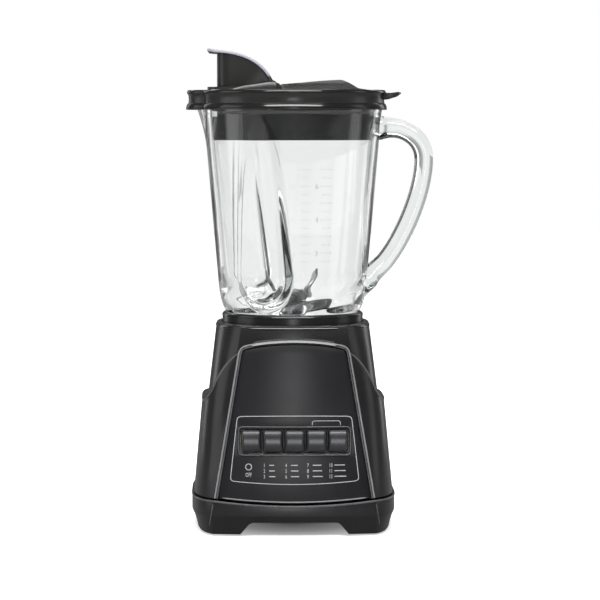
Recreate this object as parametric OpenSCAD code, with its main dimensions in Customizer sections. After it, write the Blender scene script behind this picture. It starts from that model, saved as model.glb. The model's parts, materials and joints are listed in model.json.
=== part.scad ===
// Countertop blender: a glass jar with a screwed-on cutter, a lid with a hinged
// pour cap, and a lofted motor base with five push buttons.
// Millimetres. +Z is up, the front with the buttons faces -Y and the handle points
// to +X. The origin is on the table, under the motor shaft.

/* [Base] */
// Width of the deck that the jar stands on, across X
deck_w = 126.6; // [124:0.2:140]
// Depth of the deck, across Y
deck_d = 134; // [126:0.5:150]
// Height of the deck above the table
deck_z = 169.5; // [165:0.5:180]
// Wall of the moulded shells
wall = 2.5; // [2:0.1:3]
// Height of the seam at the sides
seam_z = 30; // [27:0.5:33]
// How far the seam dips at the middle of the front
seam_dip = 4.2; // [0:0.2:5]
// Width of the outer cowl at the seam
cowl_w = 164.8; // [163:0.2:170]
// Depth of the outer cowl at the seam
cowl_d = 176; // [170:0.5:182]
// How far the cowl's sides stand out from the inner body at the seam
cowl_stand_x = 2.4; // [1.8:0.1:4]
// How far the cowl's front and back stand out from the inner body at the seam
cowl_stand_y = 4; // [3.2:0.1:6]
// Depth of the well that the jar's locking ring drops into
well_depth = 11.5; // [10:0.5:13]

/* [Pan and feet] */
// How far the bottom pan's sides stand out past the cowl
pan_stand_x = 1.4; // [0.6:0.1:3]
// How far the bottom pan's front and back stand out past the cowl
pan_stand_y = 1; // [0.6:0.1:3]
// Height of the pan's belly, below which it tucks in
pan_belly_z = 17; // [15:0.5:19]
// How far the pan tucks in below its belly
pan_tuck = 5; // [3:0.5:6]
// Clear height under the pan between the feet
arch_h = 11.5; // [9:0.5:12]
// Half width of the arch between two feet, at its top
arch_half = 35; // [28:1:38]
// Distance from the centre to each foot, along X
foot_x = 57; // [55:0.5:59]
// Distance from the centre to each foot, along Y
foot_y = 59; // [57:0.5:62]
// Radius of a rubber foot
foot_r = 8.5; // [7:0.5:9]
// How far a rubber foot stands out below the pan
foot_stand = 1.5; // [1:0.1:2]

/* [Panel and buttons] */
// Number of push buttons
button_count = 5; // [3:1:5]
// Width of one button
button_w = 16.3; // [14:0.1:16.6]
// Height of one button
button_h = 18; // [15:0.5:19]
// Distance from one button to the next
button_pitch = 17.6; // [17:0.1:18]
// Height of the middle of the buttons above the table
button_z = 77.4; // [72:0.5:82]
// How far a button stands out of the panel
button_out = 4.2; // [3.8:0.1:5]
// How far a button travels when pressed
button_travel = 3; // [2:0.5:3]
// Height of the top of the panel at its middle
panel_top_z = 155.2; // [150:0.5:156]
// Depth of the panel's face below the cowl's face
panel_inset = 0.8; // [0.4:0.1:1.2]

/* [Motor] */
// Radius of the motor shaft
shaft_r = 4; // [3:0.5:5]
// Radius of the armature core
armature_r = 22; // [20:0.5:24]
// Length of the armature and stator stacks
stack_len = 32; // [26:1:36]
// Air gap between armature and stator
air_gap = 0.6; // [0.4:0.1:0.8]
// Number of fan blades
fan_blades = 11; // [7:1:15]
// Radius of the cooling fan
fan_r = 33; // [28:1:36]
// Number of bars on the commutator
commutator_bars = 24; // [16:2:32]
// Number of teeth on the drive clutch
clutch_teeth = 6; // [5:1:8]

/* [Jar] */
// Height of the glass
jar_h = 189.5; // [175:0.5:200]
// Outer radius of the glass at its mouth
jar_top_r = 74.4; // [72:0.2:76]
// Outer radius of the glass just above its rounded heel
jar_heel_r = 61.6; // [60:0.2:64]
// Thickness of the glass
glass = 4; // [3.5:0.1:4.6]
// Outer radius of the threaded neck
neck_r = 53.5; // [52:0.1:54]
// Height of the straight neck
neck_h = 7.7; // [6:0.1:9]
// Outer radius of the locking ring
ring_r = 58.5; // [57:0.1:59.5]
// Height of the locking ring
ring_h = 19.1; // [17:0.1:21]
// Radius of the hollow flutes in the glass
flute_r = 24; // [20:0.5:26]
// How deep the flutes press into the glass at their foot
flute_depth = 13; // [8:0.5:15]
// Thickness of the handle
handle_t = 15.6; // [13:0.2:18]
// Width of the handle, across Y
handle_w = 20; // [16:0.5:24]
// How far the handle reaches from the jar's axis to its middle line
handle_reach = 109.3; // [104:0.5:114]

/* [Cutter] */
// Thickness of a blade
blade_t = 1.6; // [1.2:0.1:2]
// Distance from the axis to a lower blade's tip
blade_reach = 28; // [24:0.5:31]
// Height of the upturned tips above the blade's flat
tip_rise = 22; // [16:0.5:24]
// Radius of the cutter's shaft
cutter_shaft_r = 4; // [3:0.5:4.5]

/* [Lid] */
// Outer radius of the lid's rim
lid_r = 77; // [76.6:0.1:79]
// Height of the lid's rim
lid_rim_h = 16.2; // [14:0.2:18]
// Depth that the lid's skirt reaches below the rim
skirt_drop = 24.8; // [18:0.2:28]
// Height of the grip above the rim
grip_rise = 8.4; // [6:0.2:10]
// Distance from the lid's axis to the pour cap's hinge
hinge_x = 17; // [16:0.5:18]
// Half width of the pour cap
cap_half = 28; // [24:0.5:30]
// Distance from the hinge to the open cap's end wall
cap_reach = 45.6; // [43:0.1:46.5]
// Depth of the cap's plug below its hinge
plug_depth = 25; // [20:0.5:27]
// Angle at which the cap stands open
cap_open = 29; // [25:1:33]

/* [Clearances] */
// Gap between shells and pieces that sit in them
fit_gap = 0.3; // [0.2:0.05:0.4]
// Radial gap between a turning shaft or pin and its bearing
running_gap = 0.06; // [0.04:0.01:0.09]

/* [Hidden] */
$fn = 96;
tiny = 0.01;
through = 400;

// the inner body and the bottom pan follow the cowl
body_w = cowl_w - 2 * cowl_stand_x;
body_d = cowl_d - 2 * cowl_stand_y;
pan_w = cowl_w + 2 * pan_stand_x;
pan_d = cowl_d + 2 * pan_stand_y;
// heights of the base
well_floor_z = deck_z - well_depth;
well_r = ring_r + 0.7;
pan_floor_t = 2.5;
// heights of the jar
ring_z = well_floor_z + fit_gap;
web_z = ring_z + 3;
web_t = 3;
hub_z = web_z + web_t;
hub_t = 2.5;
gasket_t = 2;
glass_z = hub_z + hub_t + gasket_t;
jar_top_z = glass_z + jar_h;
heel_z = glass_z + 32;
shoulder_z = jar_top_z - 18;
bore_r = neck_r - 8;
// heights of the lid
lid_plate = 2.5;
lid_plate_z = jar_top_z + fit_gap;
lid_top_z = lid_plate_z + lid_plate;
lid_z = lid_top_z - lid_rim_h;
skirt_z = lid_z - skirt_drop;
hinge_z = lid_top_z + 4.2;

// ---------------------------------------------------------------- helpers

function lerp(a, b, t) = a + (b - a) * t;
function clamp01(t) = max(0, min(1, t));
function bezier3(p, t) =
    (1 - t) * (1 - t) * p[0] + 2 * t * (1 - t) * p[1] + t * t * p[2];
function bezier4(p, t) =
    pow(1 - t, 3) * p[0] + 3 * t * pow(1 - t, 2) * p[1] + 3 * t * t * (1 - t) * p[2] + pow(t, 3) * p[3];
function curve3(p, steps) = [for (i = [0 : steps]) bezier3(p, i / steps)];
function arc_points(r, a0, a1, steps, c = [0, 0]) =
    [for (i = [0 : steps]) c + r * [cos(lerp(a0, a1, i / steps)), sin(lerp(a0, a1, i / steps))]];
function mirrored(points) =
    concat(points, [for (i = [len(points) - 1 : -1 : 0]) if (points[i][0] != 0) [-points[i][0], points[i][1]]]);

// one closed ring of a rounded square: half sizes a and b, corner exponent n
function squircle(a, b, n, z, count = 48) =
    [for (i = [0 : count - 1]) let (t = 360 * i / count, c = cos(t), s = sin(t))
        [a * sign(c) * pow(abs(c), 2 / n), b * sign(s) * pow(abs(s), 2 / n), z]];

// the same, with a gently bowed front between two creases at x = +-cx
front_steps = 12;
around_steps = 48;
function creased(a, b, n, z, cx) =
    let (ct = pow(cx / a, n / 2), t0 = acos(ct), y1 = b - front_drop, k = y1 / pow(sin(t0), 2 / n))
    concat(
        [for (i = [0 : front_steps - 1]) let (x = cx * (2 * i / front_steps - 1))
            [x, -(b - front_drop * pow(x / cx, 2)), z]],
        [for (i = [0 : around_steps - 1]) let (t = lerp(-t0, 180 + t0, i / around_steps), c = cos(t), s = sin(t))
            [a * sign(c) * pow(abs(c), 2 / n), (s < 0 ? k : b) * sign(s) * pow(abs(s), 2 / n), z]]);

// a closed solid through rings that have the same number of points
module loft(rings) {
    m = len(rings[0]);
    k = len(rings);
    polyhedron(
        points = [for (r = rings) for (p = r) p],
        faces = concat(
            [[for (i = [0 : m - 1]) i]],
            [for (j = [0 : k - 2]) for (i = [0 : m - 1]) let (n = (i + 1) % m)
                each [[j * m + i, (j + 1) * m + i, (j + 1) * m + n], [j * m + i, (j + 1) * m + n, j * m + n]]],
            [[for (i = [m - 1 : -1 : 0]) (k - 1) * m + i]]));
}

// the same for rings that stand at any angle, its ends closed round a middle point
module sweep(rings) {
    m = len(rings[0]);
    k = len(rings);
    a = m * k;
    polyhedron(
        points = concat([for (r = rings) for (p = r) p], [middle(rings[0]), middle(rings[k - 1])]),
        faces = concat(
            [for (i = [0 : m - 1]) [i, (i + 1) % m, a]],
            [for (j = [0 : k - 2]) for (i = [0 : m - 1]) let (n = (i + 1) % m)
                each [[j * m + i, (j + 1) * m + i, (j + 1) * m + n], [j * m + i, (j + 1) * m + n, j * m + n]]],
            [for (i = [0 : m - 1]) [(k - 1) * m + (i + 1) % m, (k - 1) * m + i, a + 1]]));
}
function middle(r, i = 0) = i == len(r) - 1 ? r[i] / len(r) : r[i] / len(r) + middle(r, i + 1);

module tube(r_out, r_in, h) {
    difference() {
        cylinder(r = r_out, h = h);
        translate([0, 0, -1]) cylinder(r = r_in, h = h + 2);
    }
}

// a flat plate with round corners, made of exact arcs
module rounded_rect(w, h, r) {
    square([w - 2 * r, h], center = true);
    square([w, h - 2 * r], center = true);
    for (x = [-1, 1], y = [-1, 1])
        translate([x * (w / 2 - r), y * (h / 2 - r)]) circle(r = r);
}

module at_corners(x, y) {
    for (sx = [-1, 1], sy = [-1, 1])
        translate([sx * x, sy * y, 0]) children();
}

// an outline in the XZ plane, run through the part along Y
module along_y(y0, y1) {
    translate([0, y1, 0]) rotate([90, 0, 0]) linear_extrude(y1 - y0) children();
}

// ---------------------------------------------------------------- base shells

body_square = 4;
deck_square = 2.5;
front_drop = 5;
function corner_n(z) = lerp(body_square, deck_square, pow(clamp01((z - 95) / (deck_z - 95)), 1.3));
function crease_at(z) = 46.7 + (146.4 - z) * 0.1637;
function body_a(z) = lerp(body_w / 2, deck_w / 2, (z - seam_z) / (deck_z - seam_z));
function body_b(z) = lerp(body_d / 2, deck_d / 2, (z - seam_z) / (deck_z - seam_z));
cowl_top_z = panel_top_z + 4.6;
cowl_side_z = 108;
cowl_top_grow = 6.2;
function cowl_a(z) = lerp(cowl_w / 2, body_a(cowl_top_z) + cowl_top_grow, (z - seam_z) / (cowl_top_z - seam_z));
function cowl_b(z) = lerp(cowl_d / 2, body_b(cowl_top_z) + 3.2, (z - seam_z) / (cowl_top_z - seam_z));
shared_levels = [for (t = [0.25, 0.47, 0.62, 0.74, 0.84, 0.92]) lerp(seam_z, deck_z, t)];
function levels(z0, z1) = concat([z0], [for (z = shared_levels) if (z > z0 + 2 && z < z1 - 2) z], [z1]);
function body_ring(z, grow) = creased(body_a(z) + grow, body_b(z) + grow, corner_n(z), z, crease_at(z));
function cowl_ring(z, grow) = creased(cowl_a(z) + grow, cowl_b(z) + grow, corner_n(z), z, crease_at(z));

module body_loft(grow, z0, z1) {
    loft([for (z = levels(z0, z1)) body_ring(z, grow)]);
}

module cowl_loft(grow, z0, z1) {
    loft([for (z = levels(z0, z1)) cowl_ring(z, grow)]);
}

// the seam's height across the front, dipping at the middle
crease_x = 67;
function seam_at(x) = seam_z - seam_dip * (1 - pow(min(abs(x), crease_x) / crease_x, 2));
seam_line = [for (x = [-100, for (i = [0 : 21]) (i / 10.5 - 1) * crease_x, 100]) [x, seam_at(x)]];
seam_groove = 1.4;

module below_seam(shift = 0) {
    polygon(concat([[100, -50], [-100, -50]], [for (p = seam_line) p + [0, shift]]));
}

// the arch and the swoop of the cowl's upper edge, as the front view shows them
arch_x = 42;
arch_drop = 8.4;
swoop_x = 74.2;
function arch_points() =
    mirrored(concat(
        curve3([[0, cowl_top_z], [arch_x * 0.62, cowl_top_z - 0.6], [arch_x, cowl_top_z - arch_drop]], 10),
        curve3([[arch_x + 4, cowl_top_z - arch_drop - 3], [59, cowl_top_z - 21], [swoop_x - 7, cowl_side_z + 9]], 9),
        [[swoop_x - 3.2, cowl_side_z + 3]],
        [[swoop_x, cowl_side_z], [100, cowl_side_z], [100, 0]]));

module cowl_outline() {
    difference() {
        polygon(arch_points());
        below_seam(seam_groove);
    }
}

// the control panel's outline, grown by a clearance and open at the foot when drop is set
panel_top_half = 42.5;
panel_foot_half = 61.5;
function panel_foot_z(x) = seam_at(x) + seam_groove + 0.4;
module panel_outline(grow = 0, drop = 0) {
    side_z = panel_top_z - 4.4;
    foot_z = panel_foot_z(60);
    polygon(mirrored(concat(
        curve3([[0, panel_top_z + grow], [24, panel_top_z + grow - 0.4], [panel_top_half - 5, side_z + 0.4 + grow]], 5),
        arc_points(4.5 + grow, 70, 10, 4, [panel_top_half - 4.7, side_z - 4.1]),
        drop > 0
            ? [[panel_foot_half + grow, foot_z + 2.2], [panel_foot_half + grow, -drop], [0, -drop]]
            : concat(arc_points(2 + grow, -8, -72, 3, [panel_foot_half - 2, foot_z + 2.2]),
                [for (i = [9 : -1 : 0]) [i * 6.2, panel_foot_z(i * 6.2) - grow]]))));
}

// the tilted frame of the buttons: +Y runs into the base, the origin is on the panel's face
panel_tilt = atan((cowl_b(button_z - 10) - cowl_b(button_z + 10)) / 20);
panel_face_y = cowl_b(button_z) - panel_inset;
module on_panel() {
    translate([0, -panel_face_y, button_z]) rotate([-panel_tilt, 0, 0]) children();
}

row_w = button_count * button_pitch;
window_w = row_w + 0.4;
window_h = button_h + 1.4;
bezel_rim = 1.9;
bezel_proud = 1.1;
function button_x(k) = -row_w / 2 + (k - 0.5) * button_pitch;
function button_inset(k) = front_drop * pow(button_x(k) / crease_at(button_z), 2);
module window_prism(grow, y0, y1) {
    translate([0, y1, 0]) rotate([90, 0, 0]) linear_extrude(y1 - y0)
        rounded_rect(window_w + 2 * grow, window_h + 2 * grow, 2.2 + grow);
}

// positions that the housing, the motor and the pan share
bolt_x = 31;
bolt_y = 29.5;
bolt_r = 2;
mount_h = 4;
post_h = 14;
post_z = well_floor_z - 3 - post_h;
boss_top_z = 62;
boss_r = 5;
screw_r = 1.9;
hole_gap = 0.2;
switch_front_y = 9;
switch_depth = 22;
ear_x = window_w / 2 + 6.8;
ear_y = 16;
gland_z = 44;
gland_r = 6;
gland_tilt = atan((cowl_b(gland_z - 10) - cowl_b(gland_z + 10)) / 20);
shaft_hole_r = shaft_r + 4;
lug_count = 4;
lug_w = 7;
lug_h = 2.4;
module at_lugs() {
    for (k = [0 : lug_count - 1]) rotate([0, 0, 45 + k * 360 / lug_count]) children();
}
// the back wall's frame: +Z runs into the base, the origin is on the cowl's face
module on_back() {
    translate([0, cowl_b(gland_z), gland_z]) rotate([90 + gland_tilt, 0, 0]) children();
}

deck_round = 1.6;
module housing_columns() {
    at_corners(foot_x, foot_y) {
        translate([0, 0, pan_top_floor_z + fit_gap]) cylinder(r = boss_r, h = boss_top_z - pan_top_floor_z - fit_gap);
        for (a = [45, 135]) rotate([0, 0, a]) translate([-15, -1.2, seam_z + 6]) cube([30, 2.4, boss_top_z - seam_z - 14]);
    }
}

module upper_housing() color([0.09, 0.09, 0.1]) {
    top = deck_z - deck_round;
    difference() {
        union() {
            difference() {
                loft(concat(
                    [for (z = levels(seam_z + 0.5, top)) body_ring(z, 0)],
                    [for (w = [30, 60, 90]) [for (p = body_ring(top, -deck_round * (1 - cos(w)))) [p[0], p[1], top + deck_round * sin(w)]]]));
                body_loft(-wall, seam_z - 1, well_floor_z - 3);
            }
            // hanging posts that carry the motor
            at_corners(bolt_x, bolt_y) translate([0, 0, post_z]) cylinder(r = 5.5, h = post_h + 1);
            // columns for the housing screws, webbed to the walls
            intersection() {
                housing_columns();
                union() {
                    body_loft(-1, seam_z + 5, boss_top_z + 1);
                    at_corners(foot_x, foot_y) cylinder(r = boss_r, h = boss_top_z - 4);
                }
            }
            // posts for the switch block
            on_panel() for (x = [-1, 1])
                translate([x * ear_x, 8, 0]) rotate([-90, 0, 0]) cylinder(r = 3.4, h = ear_y - 8);
        }
        // the well for the locking ring
        translate([0, 0, well_floor_z]) cylinder(r = well_r, h = well_depth + 1);
        translate([0, 0, well_floor_z - 10]) cylinder(r = shaft_hole_r, h = 20);
        at_corners(bolt_x, bolt_y) translate([0, 0, post_z - 1]) cylinder(r = bolt_r, h = post_h - 2);
        at_corners(foot_x, foot_y) translate([0, 0, 5]) cylinder(r = screw_r, h = 40);
        on_panel() {
            window_prism(bezel_rim + fit_gap, -10, 14);
            for (x = [-1, 1]) translate([x * ear_x, 10.5, 0]) rotate([-90, 0, 0]) cylinder(r = 1.5, h = 10);
        }
        on_back() translate([0, 0, -3]) cylinder(r = gland_r + fit_gap, h = 20);
    }
    // raised collar round the shaft, and lugs that stop the locking ring from turning
    translate([0, 0, well_floor_z - 1]) tube(shaft_hole_r + 5, shaft_hole_r, 3.4);
    at_lugs() translate([well_r - 5, -lug_w / 2, well_floor_z - 1]) cube([5.4, lug_w, lug_h + 1]);
}

trim_w = 3.3;
module cowl() color([0.1, 0.1, 0.11]) {
    difference() {
        union() {
            intersection() {
                cowl_loft(0, seam_z - 6, cowl_top_z + 1);
                union() {
                    along_y(-120, 0) cowl_outline();
                    along_y(-1, 120) intersection() {
                        cowl_outline();
                        translate([-100, 0]) square([200, cowl_side_z]);
                    }
                }
            }
            // the raised frame round the panel
            intersection() {
                cowl_loft(0.7, seam_z - 6, cowl_top_z + 1);
                along_y(-120, -30) intersection() {
                    panel_outline(trim_w, 20);
                    cowl_outline();
                }
            }
        }
        body_loft(fit_gap, seam_z - 8, deck_z);
        along_y(-120, -20) panel_outline(fit_gap, 30);
        on_back() translate([0, 0, -3]) cylinder(r = gland_r + fit_gap, h = 20);
    }
}

module control_panel() color([0.12, 0.12, 0.14]) {
    difference() {
        intersection() {
            cowl_loft(-panel_inset, seam_z - 6, cowl_top_z + 1);
            along_y(-120, -40) panel_outline();
        }
        body_loft(fit_gap, seam_z - 8, deck_z);
        on_panel() window_prism(bezel_rim + fit_gap, -10, 14);
    }
}

// the frame round the buttons, with thin ribs between them
module button_bezel() color([0.07, 0.07, 0.08]) {
    intersection() {
        on_panel() {
            difference() {
                window_prism(bezel_rim, -3, 7.6);
                window_prism(0, -5, 9);
            }
            for (k = [1 : button_count - 1])
                translate([button_x(k + 0.5) - 0.35, 2.6, -window_h / 2 - 1]) cube([0.7, 4, window_h + 2]);
        }
        cowl_loft(bezel_proud - panel_inset, seam_z + 10, 120);
    }
}

stem_w = 8;
stem_h = 7;
stem_len = 17;
cap_h = 7.6;
module button(k) color([0.2, 0.2, 0.21]) {
    face = button_out;
    half = button_h / 2;
    on_panel() translate([button_x(k), button_inset(k), 0]) {
        difference() {
            translate([-button_w / 2, 0, 0]) rotate([90, 0, 90]) linear_extrude(button_w)
                polygon(concat(
                    [[cap_h - face, half], [cap_h - face, -half]],
                    arc_points(2.4, 270, 190, 4, [-face + 3.1, -half + 2.4]),
                    curve3([[-face + 0.6, -half + 3], [-face - 0.5, 0], [-face + 0.8, half - 2.2]], 6),
                    arc_points(1.4, 170, 90, 3, [-face + 2.2, half - 1.4])));
            translate([-button_w / 2 + 1.4, cap_h - face - 3.4, -half + 1.8]) cube([button_w - 2.8, 5, button_h - 3.6]);
        }
        translate([-stem_w / 2, cap_h - face - 3.6, -stem_h / 2]) cube([stem_w, stem_len, stem_h]);
    }
}

module switch_block() color([0.75, 0.72, 0.64]) {
    on_panel() difference() {
        union() {
            translate([-window_w / 2 - 1, switch_front_y, -13]) cube([window_w + 2, switch_depth, 26]);
            for (x = [-1, 1]) translate([x * (ear_x - 1.2) - 5.7, ear_y, -6]) cube([11.4, 3, 12]);
        }
        for (k = [1 : button_count])
            translate([button_x(k) - stem_w / 2 - fit_gap, switch_front_y - 1, -stem_h / 2 - fit_gap])
                cube([stem_w + 2 * fit_gap, stem_len, stem_h + 2 * fit_gap]);
        for (x = [-1, 1]) translate([x * ear_x, ear_y - 1, 0]) rotate([-90, 0, 0]) cylinder(r = 1.7, h = 6);
    }
}

module switch_screws() color([0.7, 0.7, 0.72]) {
    on_panel() for (x = [-1, 1]) translate([x * ear_x, ear_y + 3, 0]) rotate([-90, 0, 0]) {
        cylinder(r = 2.8, h = 2);
        translate([0, 0, -8.4]) cylinder(r = 1.45, h = 9);
    }
}

// ---------------------------------------------------------------- pan and feet

pan_top_floor_z = arch_h + pan_floor_t;
function pan_grow(z) = z < pan_belly_z ? -pan_tuck * pow((pan_belly_z - z) / (pan_belly_z - foot_stand), 0.7) : 0;
function pan_ring(z, inset) =
    creased(pan_w / 2 + pan_grow(z) - inset, pan_d / 2 + pan_grow(z) - inset, body_square, z, 66.5);
pan_levels = [foot_stand, foot_stand + 1.5, 8, 12.5, pan_belly_z, seam_z + 1];

module arch_cut(reach) {
    along_y(-reach, reach) polygon(mirrored(concat(
        [[arch_half - 4, arch_h]],
        arc_points(6, 90, 40, 4, [arch_half - 2, arch_h - 6]),
        [[arch_half + 9, foot_stand], [arch_half + 10, -5]])));
}

module bottom_pan() color([0.1, 0.1, 0.11]) {
    pocket = arch_half + 13;
    difference() {
        intersection() {
            loft([for (i = [0 : 5]) pan_ring(pan_levels[i], i == 0 ? 0.9 : 0)]);
            along_y(-120, 120) below_seam();
        }
        // the open inside: above the floor, and down into the corner pods
        difference() {
            loft([for (z = [5, pan_belly_z, seam_z + 2]) [for (p = pan_ring(z, wall)) p]]);
            translate([-150, -pocket, 0]) cube([300, 2 * pocket, pan_top_floor_z]);
            translate([-pocket, -150, 0]) cube([2 * pocket, 300, pan_top_floor_z]);
            at_corners(foot_x, foot_y) cylinder(r = 7, h = pan_top_floor_z);
        }
        arch_cut(150);
        rotate([0, 0, 90]) arch_cut(150);
        at_corners(foot_x, foot_y) {
            translate([0, 0, -1]) cylinder(r = foot_r + fit_gap, h = foot_stand + 3);
            translate([0, 0, 2]) cylinder(r = 3.8, h = screw_head_z + 0.9);
            translate([0, 0, 2]) cylinder(r = screw_r + hole_gap, h = 30);
        }
        // air inlet under the fan
        for (ring = [0 : 3], k = [0 : 11]) let (r = 10.5 + ring * 6.5)
            rotate([0, 0, k * 30 + ring * 15]) translate([r, 0, arch_h - 1]) cylinder(r = 1.4 + ring * 0.25, h = pan_floor_t + 2, $fn = 12);
    }
}

module rubber_feet() color([0.2, 0.2, 0.2]) {
    at_corners(foot_x, foot_y) difference() {
        cylinder(r = foot_r, h = foot_stand + 2);
        translate([0, 0, -1]) cylinder(r = 3, h = 1.8);
    }
}

screw_head_z = 7;
module housing_screws() color([0.7, 0.7, 0.72]) {
    at_corners(foot_x, foot_y) {
        translate([0, 0, screw_head_z + 0.1]) cylinder(r = 3.5, h = 2.8);
        translate([0, 0, screw_head_z + 0.1]) cylinder(r = screw_r - 0.05, h = 28);
    }
}

module cord_gland() color([0.15, 0.15, 0.15]) {
    on_back() difference() {
        union() {
            translate([0, 0, -1.9]) cylinder(r = gland_r + 2.5, h = 1.6);
            translate([0, 0, -1.9]) cylinder(r = gland_r, h = 13);
            translate([0, 0, 7.4]) cylinder(r = gland_r + 1.6, h = 2.4);
        }
        translate([0, 0, -5]) cylinder(r = 3.6, h = 30);
    }
}

// ---------------------------------------------------------------- motor

stack_top_z = 120;
stack_z = stack_top_z - stack_len;
bore_stator_r = armature_r + air_gap;
core_x = 42;
core_y = 40;
yoke = 7;
shoe_t = 3.2;
neck_half = 12;
upper_plate_z = post_z - mount_h - 3;
lower_plate_z = 58;
plate_t = 3;
module at_bolts() { at_corners(bolt_x, bolt_y) children(); }

module stator_core() color([0.45, 0.45, 0.48]) {
    translate([0, 0, stack_z]) linear_extrude(stack_len) difference() {
        rounded_rect(2 * core_x, 2 * core_y, 9);
        difference() {
            rounded_rect(2 * (core_x - yoke), 2 * (core_y - yoke), 4);
            intersection() {
                circle(r = bore_stator_r + shoe_t);
                union() {
                    polygon([[0, 0], [60, 52], [-60, 52]]);
                    polygon([[0, 0], [60, -52], [-60, -52]]);
                }
            }
            square([2 * neck_half, 2 * core_y], center = true);
            for (x = [-1, 1], y = [-1, 1]) translate([x * bolt_x, y * bolt_y]) circle(r = bolt_r + 3);
        }
        circle(r = bore_stator_r);
        for (x = [-1, 1], y = [-1, 1]) translate([x * bolt_x, y * bolt_y]) circle(r = bolt_r + hole_gap);
    }
}

coil_y0 = bore_stator_r + shoe_t + 0.4;
coil_y1 = core_y - yoke - 0.3;
bobbin_t = 1;
// a flat ring round one pole's neck, seen along Y
module pole_ring(inner, outer, y0, y1) {
    for (s = [-1, 1]) translate([0, s * (y0 + y1) / 2, stack_z + stack_len / 2]) rotate([90, 0, 0])
        linear_extrude(y1 - y0, center = true) difference() {
            rounded_rect(2 * (neck_half + outer), stack_len + 2 * outer, outer);
            rounded_rect(2 * (neck_half + inner), stack_len + 2 * inner, max(inner, 0.2));
        }
}

module coil_bobbins() color([0.85, 0.83, 0.76]) {
    pole_ring(0.1, 0.1 + bobbin_t, coil_y0, coil_y1);
}

module field_coils() color([0.72, 0.4, 0.2]) {
    pole_ring(0.2 + bobbin_t, 9, coil_y0 + 0.4, coil_y1 - 0.4);
}

module motor_bracket(z, hub_z0, hub_z1) {
    difference() {
        union() {
            translate([0, 0, z]) linear_extrude(plate_t) difference() {
                union() {
                    rounded_rect(2 * bolt_x, 24, 6);
                    for (x = [-1, 1]) translate([x * bolt_x, 0]) rounded_rect(15, 2 * bolt_y + 15, 7);
                }
                for (x = [-1, 1], y = [-1, 1]) translate([x * bolt_x, y * bolt_y]) circle(r = bolt_r + hole_gap);
            }
            translate([0, 0, hub_z0]) cylinder(r = 11.5, h = hub_z1 - hub_z0);
        }
        translate([0, 0, hub_z0 - 1]) cylinder(r = 8.5, h = hub_z1 - hub_z0 + 2);
    }
}

bearing_h = 10;
upper_hub_z = upper_plate_z - 5;
lower_hub_z = lower_plate_z - 8;
module upper_bracket() color([0.6, 0.6, 0.62]) { motor_bracket(upper_plate_z, upper_hub_z, upper_hub_z + bearing_h + 2); }
module lower_bracket() color([0.6, 0.6, 0.62]) { motor_bracket(lower_plate_z, lower_hub_z, lower_hub_z + bearing_h + 2); }
module bearing(z) color([0.7, 0.5, 0.25]) {
    translate([0, 0, z]) tube(8.45, shaft_r + running_gap, bearing_h);
}
module upper_bearing() { bearing(upper_hub_z + 1); }
module lower_bearing() { bearing(lower_hub_z + 1); }

module motor_spacers() color([0.55, 0.55, 0.58]) {
    at_bolts() {
        translate([0, 0, lower_plate_z + plate_t]) tube(4, bolt_r + hole_gap, stack_z - lower_plate_z - plate_t);
        translate([0, 0, stack_top_z]) tube(4, bolt_r + hole_gap, upper_plate_z - stack_top_z);
    }
}

module motor_bolts() color([0.7, 0.7, 0.72]) {
    at_bolts() {
        translate([0, 0, lower_plate_z - 3.2]) cylinder(r = 3.8, h = 3.2, $fn = 6);
        translate([0, 0, lower_plate_z - 1]) cylinder(r = bolt_r - 0.05, h = post_z + 9 - lower_plate_z);
    }
}

module vibration_mounts() color([0.12, 0.12, 0.12]) {
    at_bolts() translate([0, 0, upper_plate_z + plate_t]) tube(5.5, bolt_r + hole_gap, mount_h);
}

brush_z = 71;
brush_r0 = 11.4;
module brush_holders() color([0.72, 0.6, 0.35]) {
    for (s = [0, 180]) rotate([0, 0, s]) difference() {
        translate([15, -5, lower_plate_z + plate_t]) cube([18, 10, brush_z + 5 - lower_plate_z - plate_t]);
        translate([14, -3.2, brush_z - 3.2]) cube([17, 6.4, 6.4]);
    }
}

module carbon_brushes() color([0.15, 0.15, 0.15]) {
    for (s = [0, 180]) rotate([0, 0, s]) translate([brush_r0, -3, brush_z - 3]) cube([12, 6, 6]);
}

module brush_springs() color([0.75, 0.75, 0.75]) {
    for (s = [0, 180]) rotate([0, 0, s]) for (k = [0 : 4])
        translate([brush_r0 + 12.5 + k * 1.5, 0, brush_z]) rotate([0, 90, 0]) tube(2.6, 1.9, 0.8);
}

shaft_z = 26;
clutch_z = well_floor_z + 2.9;
clutch_disc = 3.2;
clutch_tooth_h = 4.2;
coupling_z = clutch_z + clutch_disc + clutch_tooth_h + 0.4;
module motor_shaft() color([0.75, 0.75, 0.78]) {
    translate([0, 0, shaft_z]) cylinder(r = shaft_r, h = clutch_z + clutch_disc + 2 - shaft_z);
}

module armature_core() color([0.5, 0.5, 0.53]) {
    translate([0, 0, stack_z]) linear_extrude(stack_len) difference() {
        circle(r = armature_r);
        circle(r = shaft_r);
        for (k = [0 : 11]) rotate(k * 30) translate([armature_r - 4, 0]) square([9, 2.2], center = true);
    }
}

module armature_windings() color([0.72, 0.4, 0.2]) {
    for (z = [stack_z - 8, stack_top_z]) translate([0, 0, z]) rotate_extrude() difference() {
        translate([shaft_r, 0]) square([15, 8]);
        for (y = [0, 8]) translate([shaft_r + 15, y]) rotate(45) square(4, center = true);
    }
}

commutator_z = brush_z - 7;
module commutator() color([0.8, 0.5, 0.3]) {
    translate([0, 0, commutator_z]) linear_extrude(15) difference() {
        circle(r = brush_r0 - 0.3);
        circle(r = shaft_r);
        for (k = [0 : commutator_bars - 1]) rotate(k * 360 / commutator_bars) translate([brush_r0, 0]) square([3, 0.5], center = true);
    }
}

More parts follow.
